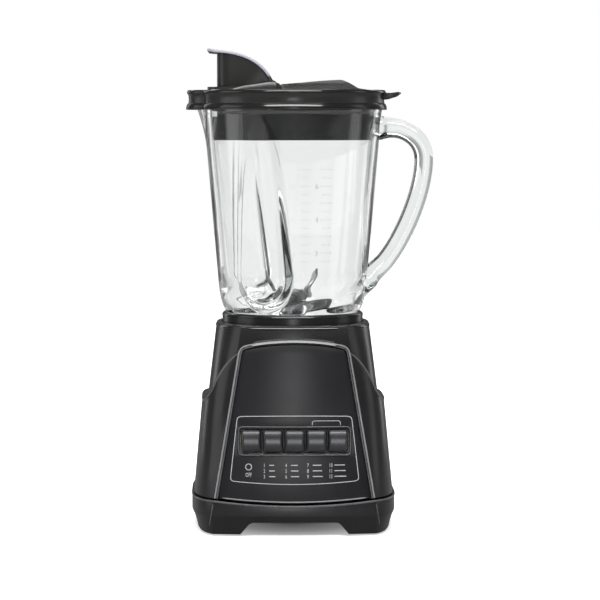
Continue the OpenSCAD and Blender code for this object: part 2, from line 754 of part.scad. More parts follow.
module cooling_fan() color([0.2, 0.2, 0.22]) {
    z = shaft_z + 2;
    translate([0, 0, z]) tube(9, shaft_r, 18);
    translate([0, 0, z + 15]) tube(fan_r, 8, 1.6);
    for (k = [0 : fan_blades - 1]) rotate([0, 0, k * 360 / fan_blades])
        translate([8, 0, z + 2]) rotate([0, 0, 18]) cube([(fan_r - 9.5), 1.4, 14]);
}

clutch_r = 16;
// upright teeth, each spanning a share of the circle
module teeth(r0, r1, h, span, turn) {
    for (k = [0 : clutch_teeth - 1]) rotate([0, 0, turn + k * 360 / clutch_teeth])
        rotate_extrude(angle = span) translate([r0, 0]) square([r1 - r0, h]);
}
tooth_span = 180 / clutch_teeth - 4;

module base_clutch() color([0.75, 0.75, 0.78]) {
    translate([0, 0, clutch_z]) {
        tube(clutch_r, shaft_r, clutch_disc);
        translate([0, 0, clutch_disc - 0.5]) teeth(8, clutch_r - 0.5, clutch_tooth_h + 0.5, tooth_span, 0);
    }
}

// ---------------------------------------------------------------- jar

jar_rim_r = jar_top_r;
function jar_wall(z) = lerp(jar_heel_r, jar_top_r - 0.7, (z - heel_z) / (shoulder_z - heel_z));
heel_h = heel_z - glass_z - neck_h;
jar_outer = concat(
    [[0, glass_z], [neck_r, glass_z], [neck_r, glass_z + neck_h]],
    [for (t = [0.12, 0.25, 0.38, 0.5, 0.62, 0.75, 0.88]) bezier4([
        [neck_r, glass_z + neck_h], [neck_r + 4.4, glass_z + neck_h + 1.5],
        [jar_heel_r - 1.1, heel_z - heel_h * 0.5], [jar_heel_r, heel_z]], t)],
    [[jar_heel_r, heel_z], [jar_top_r - 0.7, shoulder_z], [jar_top_r, shoulder_z + 4], [jar_top_r, jar_top_z - 1],
        [jar_top_r - 1, jar_top_z], [0, jar_top_z]]);
jar_inner = concat(
    [[0, glass_z - 1], [bore_r, glass_z - 1], [bore_r, glass_z + 5]],
    [for (t = [0.12, 0.25, 0.38, 0.5, 0.62, 0.75, 0.88]) bezier4([
        [bore_r, glass_z + 5], [bore_r + 8.5, glass_z + 7.5],
        [jar_heel_r - glass - 0.9, heel_z - heel_h * 0.5], [jar_heel_r - glass, heel_z]], t)],
    [[jar_heel_r - glass, heel_z], [jar_top_r - 0.7 - glass, shoulder_z], [jar_top_r - glass, shoulder_z + 4],
        [jar_top_r - glass, jar_top_z + 1], [0, jar_top_z + 1]]);

flute_angles = [245, 125];
flute_foot_z = heel_z + 6;
flute_lean = atan((jar_wall(flute_foot_z + 106) - jar_wall(flute_foot_z) + flute_depth) / 106);
module flutes(r) {
    for (a = flute_angles) rotate([0, 0, a])
        translate([jar_wall(flute_foot_z) - flute_depth + flute_r, 0, flute_foot_z]) rotate([0, flute_lean, 0])
            loft(concat([for (w = [10 : 16 : 90]) squircle(r * sin(w), r * sin(w), 2, -r * cos(w), 40)],
                [squircle(r, r, 2, 130, 40)]));
}

spout_x = 62;
spout_slope = 0.375;
spout_top_r = 22;
module spout_cone(shrink) {
    h = 56;
    translate([-spout_x, 0, jar_top_z - h + (shrink > 0 ? 1 : 0)])
        cylinder(r1 = max(spout_top_r - spout_slope * h - shrink, 0.4), r2 = spout_top_r - shrink, h = h);
}

// the handle's middle line, in the XZ plane
handle_top_z = jar_top_z - 28.3;
handle_line = concat(
    [[jar_wall(handle_top_z) - 3, handle_top_z], [jar_wall(handle_top_z) + 7, handle_top_z]],
    [for (i = [1 : 6]) bezier4([[jar_wall(handle_top_z) + 7, handle_top_z], [handle_reach - 12, handle_top_z],
        [handle_reach, handle_top_z - 11], [handle_reach, handle_top_z - 26]], i / 6)],
    [for (i = [1 : 8]) bezier4([[handle_reach, handle_top_z - 26], [handle_reach, handle_top_z - 52],
        [handle_reach - 16.5, handle_top_z - 92], [76, handle_top_z - 112]], i / 8)],
    [[64, handle_top_z - 123.4], [49, handle_top_z - 135]]);
function path_turn(p, i) =
    let (a = p[max(i - 1, 0)], b = p[min(i + 1, len(p) - 1)]) (b - a) / norm(b - a);
module handle_sweep() {
    last = len(handle_line) - 1;
    sweep([for (i = [last : -1 : 0])
        let (c = handle_line[i], d = path_turn(handle_line, i), t = handle_t / 2 + (i == 0 || i > last - 2 ? 1.2 : 0),
            w = handle_w / 2 + (i == 0 || i > last - 2 ? 1 : 0))
        [for (k = [0 : 19]) let (a = 18 * k, u = sign(cos(a)) * pow(abs(cos(a)), 0.86) * t, v = sign(sin(a)) * pow(abs(sin(a)), 0.86) * w)
            [c[0] - d[1] * u, v, c[1] + d[0] * u]]]);
}

thread_z = glass_z + 2.2;
module glass_jar() color([0.8, 0.88, 0.88, 0.5]) {
    difference() {
        union() {
            difference() {
                rotate_extrude() polygon(jar_outer);
                flutes(flute_r);
            }
            spout_cone(0);
            // quick-turn thread
            for (k = [0 : 3]) rotate([0, 0, k * 90 + 10])
                rotate_extrude(angle = 60) translate([neck_r - 1, thread_z]) square([1.9, 1.8]);
        }
        difference() {
            rotate_extrude() polygon(jar_inner);
            flutes(flute_r + glass);
        }
        spout_cone(glass);
    }
}

// the handle's solid stops face to face on the outside of the wall
module jar_handle() color([0.8, 0.88, 0.88, 0.5]) {
    difference() {
        handle_sweep();
        rotate_extrude() polygon(jar_outer);
    }
}

ring_in_r = neck_r + 1.5;
module locking_ring() color([0.08, 0.08, 0.09]) {
    grips = 24;
    difference() {
        union() {
            translate([0, 0, ring_z]) rotate_extrude() polygon([
                [ring_in_r, 0], [ring_r - 1, 0], [ring_r, 1], [ring_r, ring_h - 1.2], [ring_r - 1.2, ring_h], [ring_in_r, ring_h]]);
            translate([0, 0, web_z]) tube(ring_in_r + 1, neck_r - 7.5, web_t);
        }
        // notches over the base's lugs
        at_lugs() translate([well_r - 6, -lug_w / 2 - 0.7, ring_z - 1]) cube([10, lug_w + 1.4, lug_h + 1]);
    }
    // thread segments under the glass's
    for (k = [0 : 3]) rotate([0, 0, k * 90 + 10])
        translate([0, 0, thread_z + 2.1]) rotate_extrude(angle = 60) translate([neck_r + 0.4, 0]) square([ring_in_r - neck_r, 1.6]);
}

module cutter_gasket() color([0.75, 0.75, 0.72]) {
    translate([0, 0, hub_z + hub_t]) tube(neck_r - 0.4, bore_r - 0.5, gasket_t);
}

bush_r = 7.5;
hub_top_z = coupling_z + 16.2;
module cutter_hub() color([0.72, 0.72, 0.75]) {
    rotate_extrude() polygon([
        [neck_r - 0.6, hub_z], [neck_r - 0.6, hub_z + hub_t], [bore_r - 4, hub_z + hub_t], [36, hub_z + hub_t + 1.4],
        [25, coupling_z + 5], [15, coupling_z + 9.5], [11, coupling_z + 12], [11, hub_top_z], [bush_r, hub_top_z],
        [bush_r, coupling_z + 7.6], [13, coupling_z + 6.6], [22, coupling_z + 2.6], [33, hub_z + 0.6], [35, hub_z]]);
}

bush_h = 3.6;
module cutter_bushes() color([0.75, 0.55, 0.3]) {
    for (z = [coupling_z + 7.6, hub_top_z - bush_h - 0.4]) translate([0, 0, z]) tube(bush_r - 0.02, cutter_shaft_r + running_gap, bush_h);
}

module cutter_seal() color([0.1, 0.1, 0.1]) {
    translate([0, 0, hub_top_z]) rotate_extrude()
        polygon([[cutter_shaft_r + 0.35, 0], [9.5, 0], [9.5, 0.8], [cutter_shaft_r + 0.35, 1.8]]);
}

blade_z = hub_top_z + 2.4;
module cutter_shaft() color([0.8, 0.8, 0.82]) {
    translate([0, 0, coupling_z + 0.6]) cylinder(r = cutter_shaft_r, h = blade_z + 9 - coupling_z);
}

// a flat tapered arm that bends at knee and then runs on at the given angle
module blade_arm(knee, reach, bend, root, tip) {
    linear_extrude(blade_t) polygon([[0, -root / 2], [knee, -root * 0.42], [knee, root * 0.42], [0, root / 2]]);
    translate([knee, 0, blade_t / 2]) rotate([0, -bend, 0]) translate([0, 0, -blade_t / 2]) {
        translate([0, 0, 0]) linear_extrude(blade_t)
            polygon([[0, -root * 0.42], [reach * 0.72, -root * 0.36], [reach, tip], [reach * 0.45, root * 0.42], [0, root * 0.42]]);
    }
    translate([knee, root * 0.41, blade_t / 2]) rotate([90, 0, 0]) cylinder(r = blade_t * 0.48, h = root * 0.82);
}

upper_knee = 12;
upper_bend = 64;
module upper_blade() color([0.82, 0.82, 0.84]) {
    difference() {
        for (a = [20, 200]) rotate([0, 0, a]) translate([0, 0, blade_z + blade_t + 0.6])
            blade_arm(upper_knee, tip_rise / sin(upper_bend), upper_bend, 12, 2);
        translate([0, 0, blade_z]) cylinder(r = cutter_shaft_r, h = 9);
    }
}

lower_knee = 13;
lower_dip = 12;
module lower_blade() color([0.82, 0.82, 0.84]) {
    difference() {
        for (a = [110, 290]) rotate([0, 0, a]) translate([0, 0, blade_z])
            blade_arm(lower_knee, (blade_reach - lower_knee) / cos(lower_dip), a == 110 ? -lower_dip : lower_dip + 22, 12, -1);
        translate([0, 0, blade_z - 1]) cylinder(r = cutter_shaft_r, h = 9);
    }
}

module blade_washer() color([0.8, 0.8, 0.82]) {
    translate([0, 0, blade_z - 0.5]) tube(7, cutter_shaft_r, 0.5);
    translate([0, 0, blade_z + blade_t]) tube(6.5, cutter_shaft_r, 0.6);
    translate([0, 0, blade_z + 2 * blade_t + 0.6]) tube(6.5, cutter_shaft_r, 0.7);
}

module blade_nut() color([0.8, 0.8, 0.82]) {
    translate([0, 0, blade_z + 2 * blade_t + 1.3]) difference() {
        union() {
            cylinder(r = 6.6, h = 3.4, $fn = 6);
            translate([0, 0, 3.4]) cylinder(r1 = 5.4, r2 = 4.6, h = 0.8);
        }
        translate([0, 0, -1]) cylinder(r = cutter_shaft_r, h = 9);
    }
}

module jar_coupling() color([0.1, 0.1, 0.1]) {
    translate([0, 0, coupling_z]) {
        tube(clutch_r, cutter_shaft_r, 3);
        tube(7, cutter_shaft_r, 6.6);
        translate([0, 0, -clutch_tooth_h]) teeth(8, clutch_r - 0.5, clutch_tooth_h + 0.5, tooth_span, 180 / clutch_teeth);
    }
}

// ---------------------------------------------------------------- lid and pour cap

skirt_r = jar_wall(skirt_z) - glass - 0.6;
lip = 1.4;
rim_gap = 0.5;
cover_wall = 2.6;
cover_r = spout_top_r + rim_gap + cover_wall;
// a waisted band between two beads, with a thin lip under the lower bead
module lid_rim_outer(r, z0) {
    h = lid_rim_h;
    translate([0, 0, z0]) rotate_extrude() polygon([
        [0, 0], [r + lip - 0.5, 0], [r + lip, 0.5], [r + lip, 1.2], [r + 0.7, 1.6], [r + 1, 2.4], [r + 0.9, 3.3], [r + 0.3, 4.2],
        [r - 0.6, 5.4], [r - 0.9, h * 0.5], [r - 0.7, h - 4.6], [r, h - 3], [r + 0.4, h - 1.8], [r + 0.2, h - 0.7],
        [r - 0.7, h], [0, h]]);
}

grip_x0 = -11.5;
module grip() {
    z = lid_top_z - 1;
    top = lid_top_z + grip_rise;
    intersection() {
        along_y(-60, 60) polygon(concat(
            [[grip_x0, z], [grip_x0, lid_top_z + 3.6], [grip_x0 + 2.5, lid_top_z + 5]],
            curve3([[8, lid_top_z + 6.2], [22, top - 0.6], [37, top]], 4),
            curve3([[40, top], [45, top - 1], [52, top - 6]], 4),
            curve3([[54, top - 7], [60, lid_top_z + 0.2], [70, lid_top_z + 0.1]], 4),
            [[70, z]]));
        translate([28, 0, 0]) loft([
            squircle(42, 34, 2.4, z), squircle(41.6, 33, 2.4, lid_top_z + 0.6), squircle(40, 27, 2.4, lid_top_z + 3.4),
            squircle(39.6, 21, 2.5, lid_top_z + 6), squircle(39.5, 17, 2.6, top + 1.5)]);
    }
}

tab_reach = lid_r + 13.2;
module thumb_tab() {
    intersection() {
        along_y(-14, 14) polygon(concat(
            [[lid_r - 4, lid_top_z - 2], [lid_r + 4, lid_top_z - 2.2], [tab_reach - 3, lid_top_z - 1.4], [tab_reach, lid_top_z - 1.8]],
            [[tab_reach, lid_top_z - 2.8], [tab_reach - 4.2, lid_top_z - 5.4], [lid_r + 2, lid_top_z - 7.6], [lid_r - 4, lid_top_z - 8]]));
        translate([tab_reach - 22, 0, lid_z]) cylinder(r = 22, h = 40);
    }
}

ear_t = 4;
ear_gap = 0.4;
plate_half = cap_half + 1.2;
module hinge_ears() {
    for (s = [-1, 1]) translate([-hinge_x, s * (plate_half + ear_gap + ear_t / 2), 0]) difference() {
        union() {
            translate([-3.6, -ear_t / 2, lid_top_z - 1]) cube([7.2, ear_t, hinge_z - lid_top_z + 1]);
            translate([0, ear_t / 2, hinge_z]) rotate([90, 0, 0]) cylinder(r = 3.6, h = ear_t);
        }
        translate([0, ear_t, hinge_z]) rotate([90, 0, 0]) cylinder(r = pin_r + running_gap, h = 2 * ear_t);
    }
}
pin_r = 1.6;

// the opening in the lid that the cap's plug swings through
cap_corner = 11;
open_x0 = hinge_x + cap_reach + 6.3;
open_x1 = hinge_x + 3.6;
module cap_opening(grow, z0, h) {
    w = open_x0 - open_x1 + 2 * grow;
    d = 2 * (cap_half + 0.5 + grow);
    translate([-(open_x0 + open_x1) / 2, 0, z0]) linear_extrude(h) {
        rounded_rect(w, d, cap_corner + 0.3 + grow);
        // nearly square corners beside the hinge, where the plug's walls swing in
        translate([w / 4, 0]) rounded_rect(w / 2, d, 2 + grow);
    }
}

module lid() color([0.09, 0.09, 0.1]) {
    difference() {
        union() {
            difference() {
                union() {
                    lid_rim_outer(lid_r, lid_z);
                    translate([-spout_x, 0, 0]) lid_rim_outer(cover_r, lid_z);
                    thumb_tab();
                }
                translate([0, 0, lid_z - 1]) cylinder(r = jar_top_r + rim_gap, h = lid_plate_z - lid_z + 1);
                translate([-spout_x, 0, lid_z - 1]) cylinder(r = spout_top_r + rim_gap, h = lid_plate_z - lid_z + 1);
            }
            // the skirt inside the glass, with its pour window
            difference() {
                translate([0, 0, skirt_z]) tube(skirt_r, skirt_r - 2.2, lid_plate_z - skirt_z + 1);
                translate([-90, -cap_half - 0.7, hinge_z - plug_depth - 1])
                    cube([40, 2 * cap_half + 1.4, lid_plate_z - hinge_z + plug_depth + 1]);
            }
            grip();
            hinge_ears();
            // raised edge round the opening
            intersection() {
                cap_opening(1.6, lid_top_z - 1, 3.6);
                translate([-90, -60, 0]) cube([90 - open_x1 - 3.4, 120, 400]);
            }
        }
        cap_opening(0, lid_plate_z - 1, 20);
    }
}

// the cap is drawn standing open; swing() takes a point of the closed cap to the open one
function swing(p) = [p[0] * cos(cap_open) + p[1] * sin(cap_open), -p[0] * sin(cap_open) + p[1] * cos(cap_open)];
cap_curve = curve_of([[0.6, 3.2], [-7, 18.4], [-21.5, 27.6], [-cap_reach - 1.4, 28.6]], 12);
function curve_of(p, steps) = [for (i = [0 : steps]) bezier4(p, i / steps)];
function inner_side(p, t) = [for (i = [0 : len(p) - 1]) let (d = path_turn(p, i)) p[i] + t * [-d[1], d[0]]];
plate_t_cap = 2.2;
plug_wall = 1.8;
module cap_sheet_outline() {
    inside = inner_side(cap_curve, plate_t_cap);
    n = len(inside) - 1;
    polygon(concat(cap_curve, [cap_curve[12] + [-5.2, 1.2], cap_curve[12] + [-6.4, 0.2], cap_curve[12] + [-5.6, -1.8]],
        [for (i = [n : -1 : 0]) inside[i]]));
}

module pour_cap() color([0.1, 0.1, 0.11]) {
    inside = inner_side(cap_curve, plate_t_cap - 0.2);
    translate([-hinge_x, 0, hinge_z]) {
        // the curved cover plate, round-cornered in plan
        intersection() {
            along_y(-plate_half, plate_half) cap_sheet_outline();
            translate([0, 0, -20]) linear_extrude(80)
                translate([-cap_reach / 2 + 2, 0]) rounded_rect(cap_reach + 19, 2 * plate_half, 13);
        }
        // the plug's walls
        intersection() {
            along_y(-plate_half, plate_half) polygon(concat(
                [swing([-4.4, -3]), swing([-4.4, -plug_depth]), swing([-cap_reach - 20, -plug_depth])],
                [[-cap_reach - 10, 20], inside[12] + [-8, 0]], [for (i = [12 : -1 : 1]) inside[i]]));
            translate([0, 0, -60]) linear_extrude(120) difference() {
                translate([20 - cap_reach / 2, 0]) rounded_rect(cap_reach + 40, 2 * cap_half, cap_corner);
                translate([20 - cap_reach / 2, 0]) rounded_rect(cap_reach + 40 - 2 * plug_wall, 2 * (cap_half - plug_wall), cap_corner - plug_wall);
            }
        }
        // hinge barrel and pins
        translate([0, plate_half, 0]) rotate([90, 0, 0]) cylinder(r = 2.8, h = 2 * plate_half);
        translate([0, plate_half + ear_t, 0]) rotate([90, 0, 0]) cylinder(r = pin_r, h = 2 * (plate_half + ear_t));
        along_y(-plate_half, plate_half) polygon([[-2.4, -0.6], [2.6, 0], [1.2, 3.4], [-3, 5.4], [-3.8, 3]]);
    }
}

// ---------------------------------------------------------------- drawing

upper_housing();
cowl();
control_panel();
button_bezel();
bottom_pan();
rubber_feet();
housing_screws();
cord_gland();
switch_block();
switch_screws();
stator_core();
field_coils();
coil_bobbins();
upper_bracket();
lower_bracket();
upper_bearing();
lower_bearing();
brush_holders();
carbon_brushes();
brush_springs();
motor_spacers();
motor_bolts();
vibration_mounts();
motor_shaft();
armature_core();
armature_windings();
commutator();
cooling_fan();
base_clutch();
glass_jar();
jar_handle();
locking_ring();
cutter_gasket();
cutter_hub();
cutter_bushes();
cutter_seal();
cutter_shaft();
upper_blade();
lower_blade();
blade_washer();
blade_nut();
jar_coupling();
lid();
pour_cap();
button(1);  // button_1
button(2);  // button_2
button(3);  // button_3
button(4);  // button_4
button(5);  // button_5
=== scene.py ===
import json
from math import atan, atan2, copysign, cos, exp, hypot, pi, radians, sin, sqrt

import bmesh
import bpy
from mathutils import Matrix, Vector
from mathutils.bvhtree import BVHTree


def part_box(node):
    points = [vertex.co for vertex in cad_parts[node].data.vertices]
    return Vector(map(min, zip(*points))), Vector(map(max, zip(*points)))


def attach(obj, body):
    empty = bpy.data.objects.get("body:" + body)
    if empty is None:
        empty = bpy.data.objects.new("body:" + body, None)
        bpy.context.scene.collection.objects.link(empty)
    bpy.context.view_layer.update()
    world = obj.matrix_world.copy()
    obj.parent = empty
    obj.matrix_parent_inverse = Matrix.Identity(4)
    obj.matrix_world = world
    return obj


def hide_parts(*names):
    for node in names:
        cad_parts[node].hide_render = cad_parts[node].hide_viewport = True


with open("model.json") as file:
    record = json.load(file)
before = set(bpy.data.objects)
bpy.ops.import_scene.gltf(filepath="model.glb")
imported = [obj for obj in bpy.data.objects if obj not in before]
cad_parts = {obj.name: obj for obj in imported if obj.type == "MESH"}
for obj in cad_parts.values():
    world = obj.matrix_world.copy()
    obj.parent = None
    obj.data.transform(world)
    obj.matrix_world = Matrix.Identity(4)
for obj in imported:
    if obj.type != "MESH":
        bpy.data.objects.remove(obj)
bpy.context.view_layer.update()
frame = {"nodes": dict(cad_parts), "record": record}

NODES = frame["nodes"]
MM = 0.001

# ---------- node wiring


def wire(tree, target, inputs):
    """Fills a node's inputs: a socket is linked, anything else becomes the input's own value."""
    for key, value in inputs.items():
        if isinstance(value, bpy.types.NodeSocket):
            tree.links.new(value, target.inputs[key])
        else:
            target.inputs[key].default_value = value


def node(tree, kind, **values):
    """A new node; each value is one of its settings or else one of its inputs."""
    made = tree.nodes.new(kind)
    for key, value in values.items():
        if hasattr(made, key):
            setattr(made, key, value)
        else:
            wire(tree, made, {key: value})
    return made


def maths(tree, operation, *numbers, clamp=False):
    made = node(tree, "ShaderNodeMath", operation=operation, use_clamp=clamp)
    wire(tree, made, dict(enumerate(numbers)))
    return made.outputs["Value"]


def blend(tree, factor, a, b):
    """a where the factor is 0, b where it is 1."""
    return node(tree, "ShaderNodeMix", Factor=factor, A=a, B=b).outputs["Result"]


def end_in_mix(tree, factor, first, second):
    """Ends a material in a mix of two shaders."""
    mix = node(tree, "ShaderNodeMixShader")
    wire(tree, mix, {"Fac": factor, 1: first, 2: second})
    wire(tree, tree.nodes["Material Output"], {"Surface": mix.outputs["Shader"]})


def coordinates(tree, kind="Object"):
    return node(tree, "ShaderNodeTexCoord").outputs[kind]


def split(tree, vector):
    return node(tree, "ShaderNodeSeparateXYZ", Vector=vector).outputs


def light_path(tree):
    return node(tree, "ShaderNodeLightPath").outputs


def gradient(tree, value, marks):
    """A colour read off (place, colour) marks."""
    made = node(tree, "ShaderNodeValToRGB", Fac=value)
    stops = made.color_ramp.elements
    while len(stops) < len(marks):
        stops.new(0.5)
    for stop, (place, colour) in zip(stops, marks):
        stop.position, stop.color = place, (*colour, 1)
    return made.outputs["Color"]


def stepped(tree, value, marks):
    """A brightness read off (place, value) marks."""
    return gradient(tree, value, [(place, (level, level, level)) for place, level in marks])


def ramp(tree, value, low, high):
    """A mottle of two colours."""
    return gradient(tree, value, ((0.3, low), (0.7, high)))


def span(tree, value, low, high):
    """A number between low and high."""
    made = node(tree, "ShaderNodeMapRange")
    wire(tree, made, {"Value": value, "To Min": low, "To Max": high})
    return made.outputs["Result"]


def noise(tree, scale, detail, stretch=None):
    """Noise over the piece's own coordinates; scale is in cells to the metre."""
    where = coordinates(tree)
    if stretch:
        where = node(tree, "ShaderNodeMapping", Vector=where, Scale=stretch).outputs["Vector"]
    return node(tree, "ShaderNodeTexNoise", Vector=where, Scale=scale, Detail=detail).outputs["Fac"]


def bump(tree, height, depth, strength):
    return node(tree, "ShaderNodeBump", Height=height, Distance=depth, Strength=strength).outputs["Normal"]


# ---------- camera and light

CAM_DISTANCE, CAM_HEIGHT = 2.3, 0.333
CAM_TURN = radians(1.3)  # the camera stands a little to the left of the front
AIM_X, AIM_Z = 0.0062, 0.1865
FRAME_WIDTH = 0.501  # metres across the picture at the object's middle plane
SENSOR = 36.0
CARD_TURN = pi / 8  # from the middle of a pale field of the room to the middle of a grey card
PLAIN_REFLECTION = 0.13  # the room's level in any reflection but the glass's
FACE_SHARE, INSIDE_SHARE = 0.45, 0.6  # shares of the room's level on the face of the glass and inside it
FAR_FLOOR = 0.94  # the floor's level through the glass
FLOOR_SIZE, FLOOR_DROP = 12, 0.0002
FLOOR_MARKS = 0.4  # a metre in front of the object is this far along the marks of the floor's darkening
ROOM_MIDDLE = (0, 0, 0.2)
LAMPS = (  # name, place, aim, size, power
    ("top_box", (0.0, -0.1, 1.9), ROOM_MIDDLE, (1.6, 1.6), 18),
    ("front_box", (0.0, -2.0, 1.9), ROOM_MIDDLE, (3.0, 0.6), 76),
    ("back_box", (0.0, 1.9, 1.7), ROOM_MIDDLE, (3.0, 0.3), 14),
    ("low_box", (0.0, -2.9, 0.38), (0, -0.08, 0.09), (0.5, 0.64), 4.8),
    ("left", (-1.75, -0.2, 0.6), ROOM_MIDDLE, (1.0, 1.3), 4.0),
    ("right", (1.75, 0.0, 0.6), ROOM_MIDDLE, (0.6, 1.3), 1.7),
    ("left_back", (-1.1, 1.35, 0.6), ROOM_MIDDLE, (0.4, 1.3), 1.6),
    ("right_back", (1.1, 1.35, 0.6), ROOM_MIDDLE, (0.4, 1.3), 1.6),
)


def added(name, data):
    """A new object in the scene."""
    obj = bpy.data.objects.new(name, data)
    bpy.context.scene.collection.objects.link(obj)
    return obj


def aim(obj, target):
    obj.rotation_euler = (Vector(target) - obj.location).to_track_quat("-Z", "Y").to_euler()


def make_camera():
    data = bpy.data.cameras.new("camera")
    cam = added("camera", data)
    cam.location = (AIM_X - CAM_DISTANCE * sin(CAM_TURN), -CAM_DISTANCE * cos(CAM_TURN), CAM_HEIGHT)
    target = Vector((AIM_X, 0, AIM_Z))
    aim(cam, target)
    data.sensor_width = SENSOR
    data.lens = SENSOR * (target - cam.location).length / FRAME_WIDTH
    data.clip_start, data.clip_end = 0.05, 50
    bpy.context.scene.camera = cam


def area_light(name, place, target, size, power):
    data = bpy.data.lights.new(name, "AREA")
    data.shape = "RECTANGLE"
    data.size, data.size_y = size
    data.energy = power
    lamp = added(name, data)
    lamp.location = place
    aim(lamp, target)
    return lamp


def clear_sight(tree):
    """1 for what the lens sees directly or through glass alone, and 1 for what it sees directly."""
    path = light_path(tree)
    bounced = maths(tree, "ADD", path["Glossy Depth"], path["Diffuse Depth"])
    clean = maths(tree, "LESS_THAN", bounced, 0.5)
    kind = maths(tree, "MAXIMUM", path["Is Camera Ray"], path["Is Transmission Ray"])
    return maths(tree, "MULTIPLY", clean, kind), path["Is Camera Ray"]


def mirrored(tree):
    """1 for a ray that has just been mirrored by the face of the glass."""
    path = light_path(tree)
    return maths(tree, "MULTIPLY", path["Is Reflection Ray"], path["Is Singular Ray"])


def reflected(tree):
    """1 once a ray has been thrown back by anything but the face of the glass."""
    seen = maths(tree, "GREATER_THAN", light_path(tree)["Glossy Depth"], 0.5)
    return maths(tree, "SUBTRACT", seen, mirrored(tree), clamp=True)


def glass_bounce(tree, level):
    """Shares of the room's level for rays mirrored on the glass or turned in it, and a dim one for the rest."""
    face = blend(tree, mirrored(tree), PLAIN_REFLECTION, maths(tree, "MULTIPLY", level, FACE_SHARE))
    inside = maths(tree, "MULTIPLY", level, INSIDE_SHARE)
    return blend(tree, light_path(tree)["Is Transmission Ray"], face, inside)


def sky_level(tree):
    """The room as the glass sees it: pale, with eight grey cards between the main views, and grey overhead."""
    parts = split(tree, coordinates(tree, "Generated"))
    turn = maths(tree, "ARCTAN2", parts["X"], parts["Y"])
    share = maths(tree, "DIVIDE", maths(tree, "PINGPONG", turn, CARD_TURN), CARD_TURN)
    round_about = stepped(tree, share, ((0.0, 1.0), (0.5, 0.95), (0.64, 0.55), (1.0, 0.32)))
    height = maths(tree, "ABSOLUTE", parts["Z"])
    up_down = stepped(tree, height, ((0.0, 1.0), (0.28, 0.97), (0.5, 0.55), (1.0, 0.3)))
    return maths(tree, "MULTIPLY", round_about, up_down)


def make_studio():
    """A white room for the lens and the glass, dim in reflections, with boxes and strips of light."""
    world = bpy.data.worlds.new("studio")
    world.use_nodes = True
    tree = world.node_tree
    clear, direct = clear_sight(tree)
    level = sky_level(tree)
    through = blend(tree, clear, glass_bounce(tree, level), level)
    wire(tree, tree.nodes["Background"], {"Color": (1, 1, 1, 1), "Strength": blend(tree, direct, through, 1.0)})
    bpy.context.scene.world = world
    bpy.context.scene.view_settings.view_transform = "Standard"
    lamps = {name: area_light(name, *rest) for name, *rest in LAMPS}
    low = lamps["low_box"]
    low.visible_camera = low.visible_transmission = False


def make_floor():
    """A white sweep with painted light: it glows for the lens all over, less near the object, so that only the
    object's own shadow stays on it, deepened there by painted shade.
    """
    bpy.ops.mesh.primitive_plane_add(size=FLOOR_SIZE, location=(0, 0, -FLOOR_DROP))
    floor = bpy.context.object
    floor.name = "floor"
    mat, tree, shader = new_material("floor_white")
    where = coordinates(tree)
    # painted reflection: mirrored on the glass, the floor is painted dark in front of the object; in other
    # reflections, everywhere
    ahead = maths(tree, "MULTIPLY", split(tree, where)["Y"], -FLOOR_MARKS)
    front = blend(tree, mirrored(tree), 1.0, stepped(tree, ahead, ((0.42, 1.0), (0.62, 0.12))))
    shade = stepped(tree, reflected(tree), ((0.0, 0.9), (1.0, 0.22)))
    length = node(tree, "ShaderNodeVectorMath", operation="LENGTH")
    wire(tree, length, {0: where})
    # painted light and shade: the floor glows, weakest under and round the object, which paints a shadow there
    # on top of the lamps' own
    glow = stepped(tree, length.outputs["Value"], ((0.0, 0.03), (0.05, 0.2), (0.1, 0.62), (0.7, 1.0)))
    clear, direct = clear_sight(tree)
    wire(tree, shader, {
        "Base Color": maths(tree, "MULTIPLY", shade, front),
        "Roughness": 0.8,
        "Specular IOR Level": 0.2,
        "Emission Color": (1, 1, 1, 1),
        "Emission Strength": maths(tree, "MULTIPLY", glow, clear),
    })
    # through the glass the floor runs into the room without an edge
    far = node(tree, "ShaderNodeEmission", Strength=FAR_FLOOR)
    end_in_mix(tree, maths(tree, "SUBTRACT", clear, direct), shader.outputs["BSDF"], far.outputs["Emission"])
    floor.data.materials.append(mat)


# ---------- materials

# painted shade: under this height the skirt's colour is made near black, as it looks inside the glass
SKIRT_TOP = 0.345  # below this height the lid's skirt stands in the glass
WORKED = (60, 60, 900)  # how the working marks of turned or rolled metal are stretched
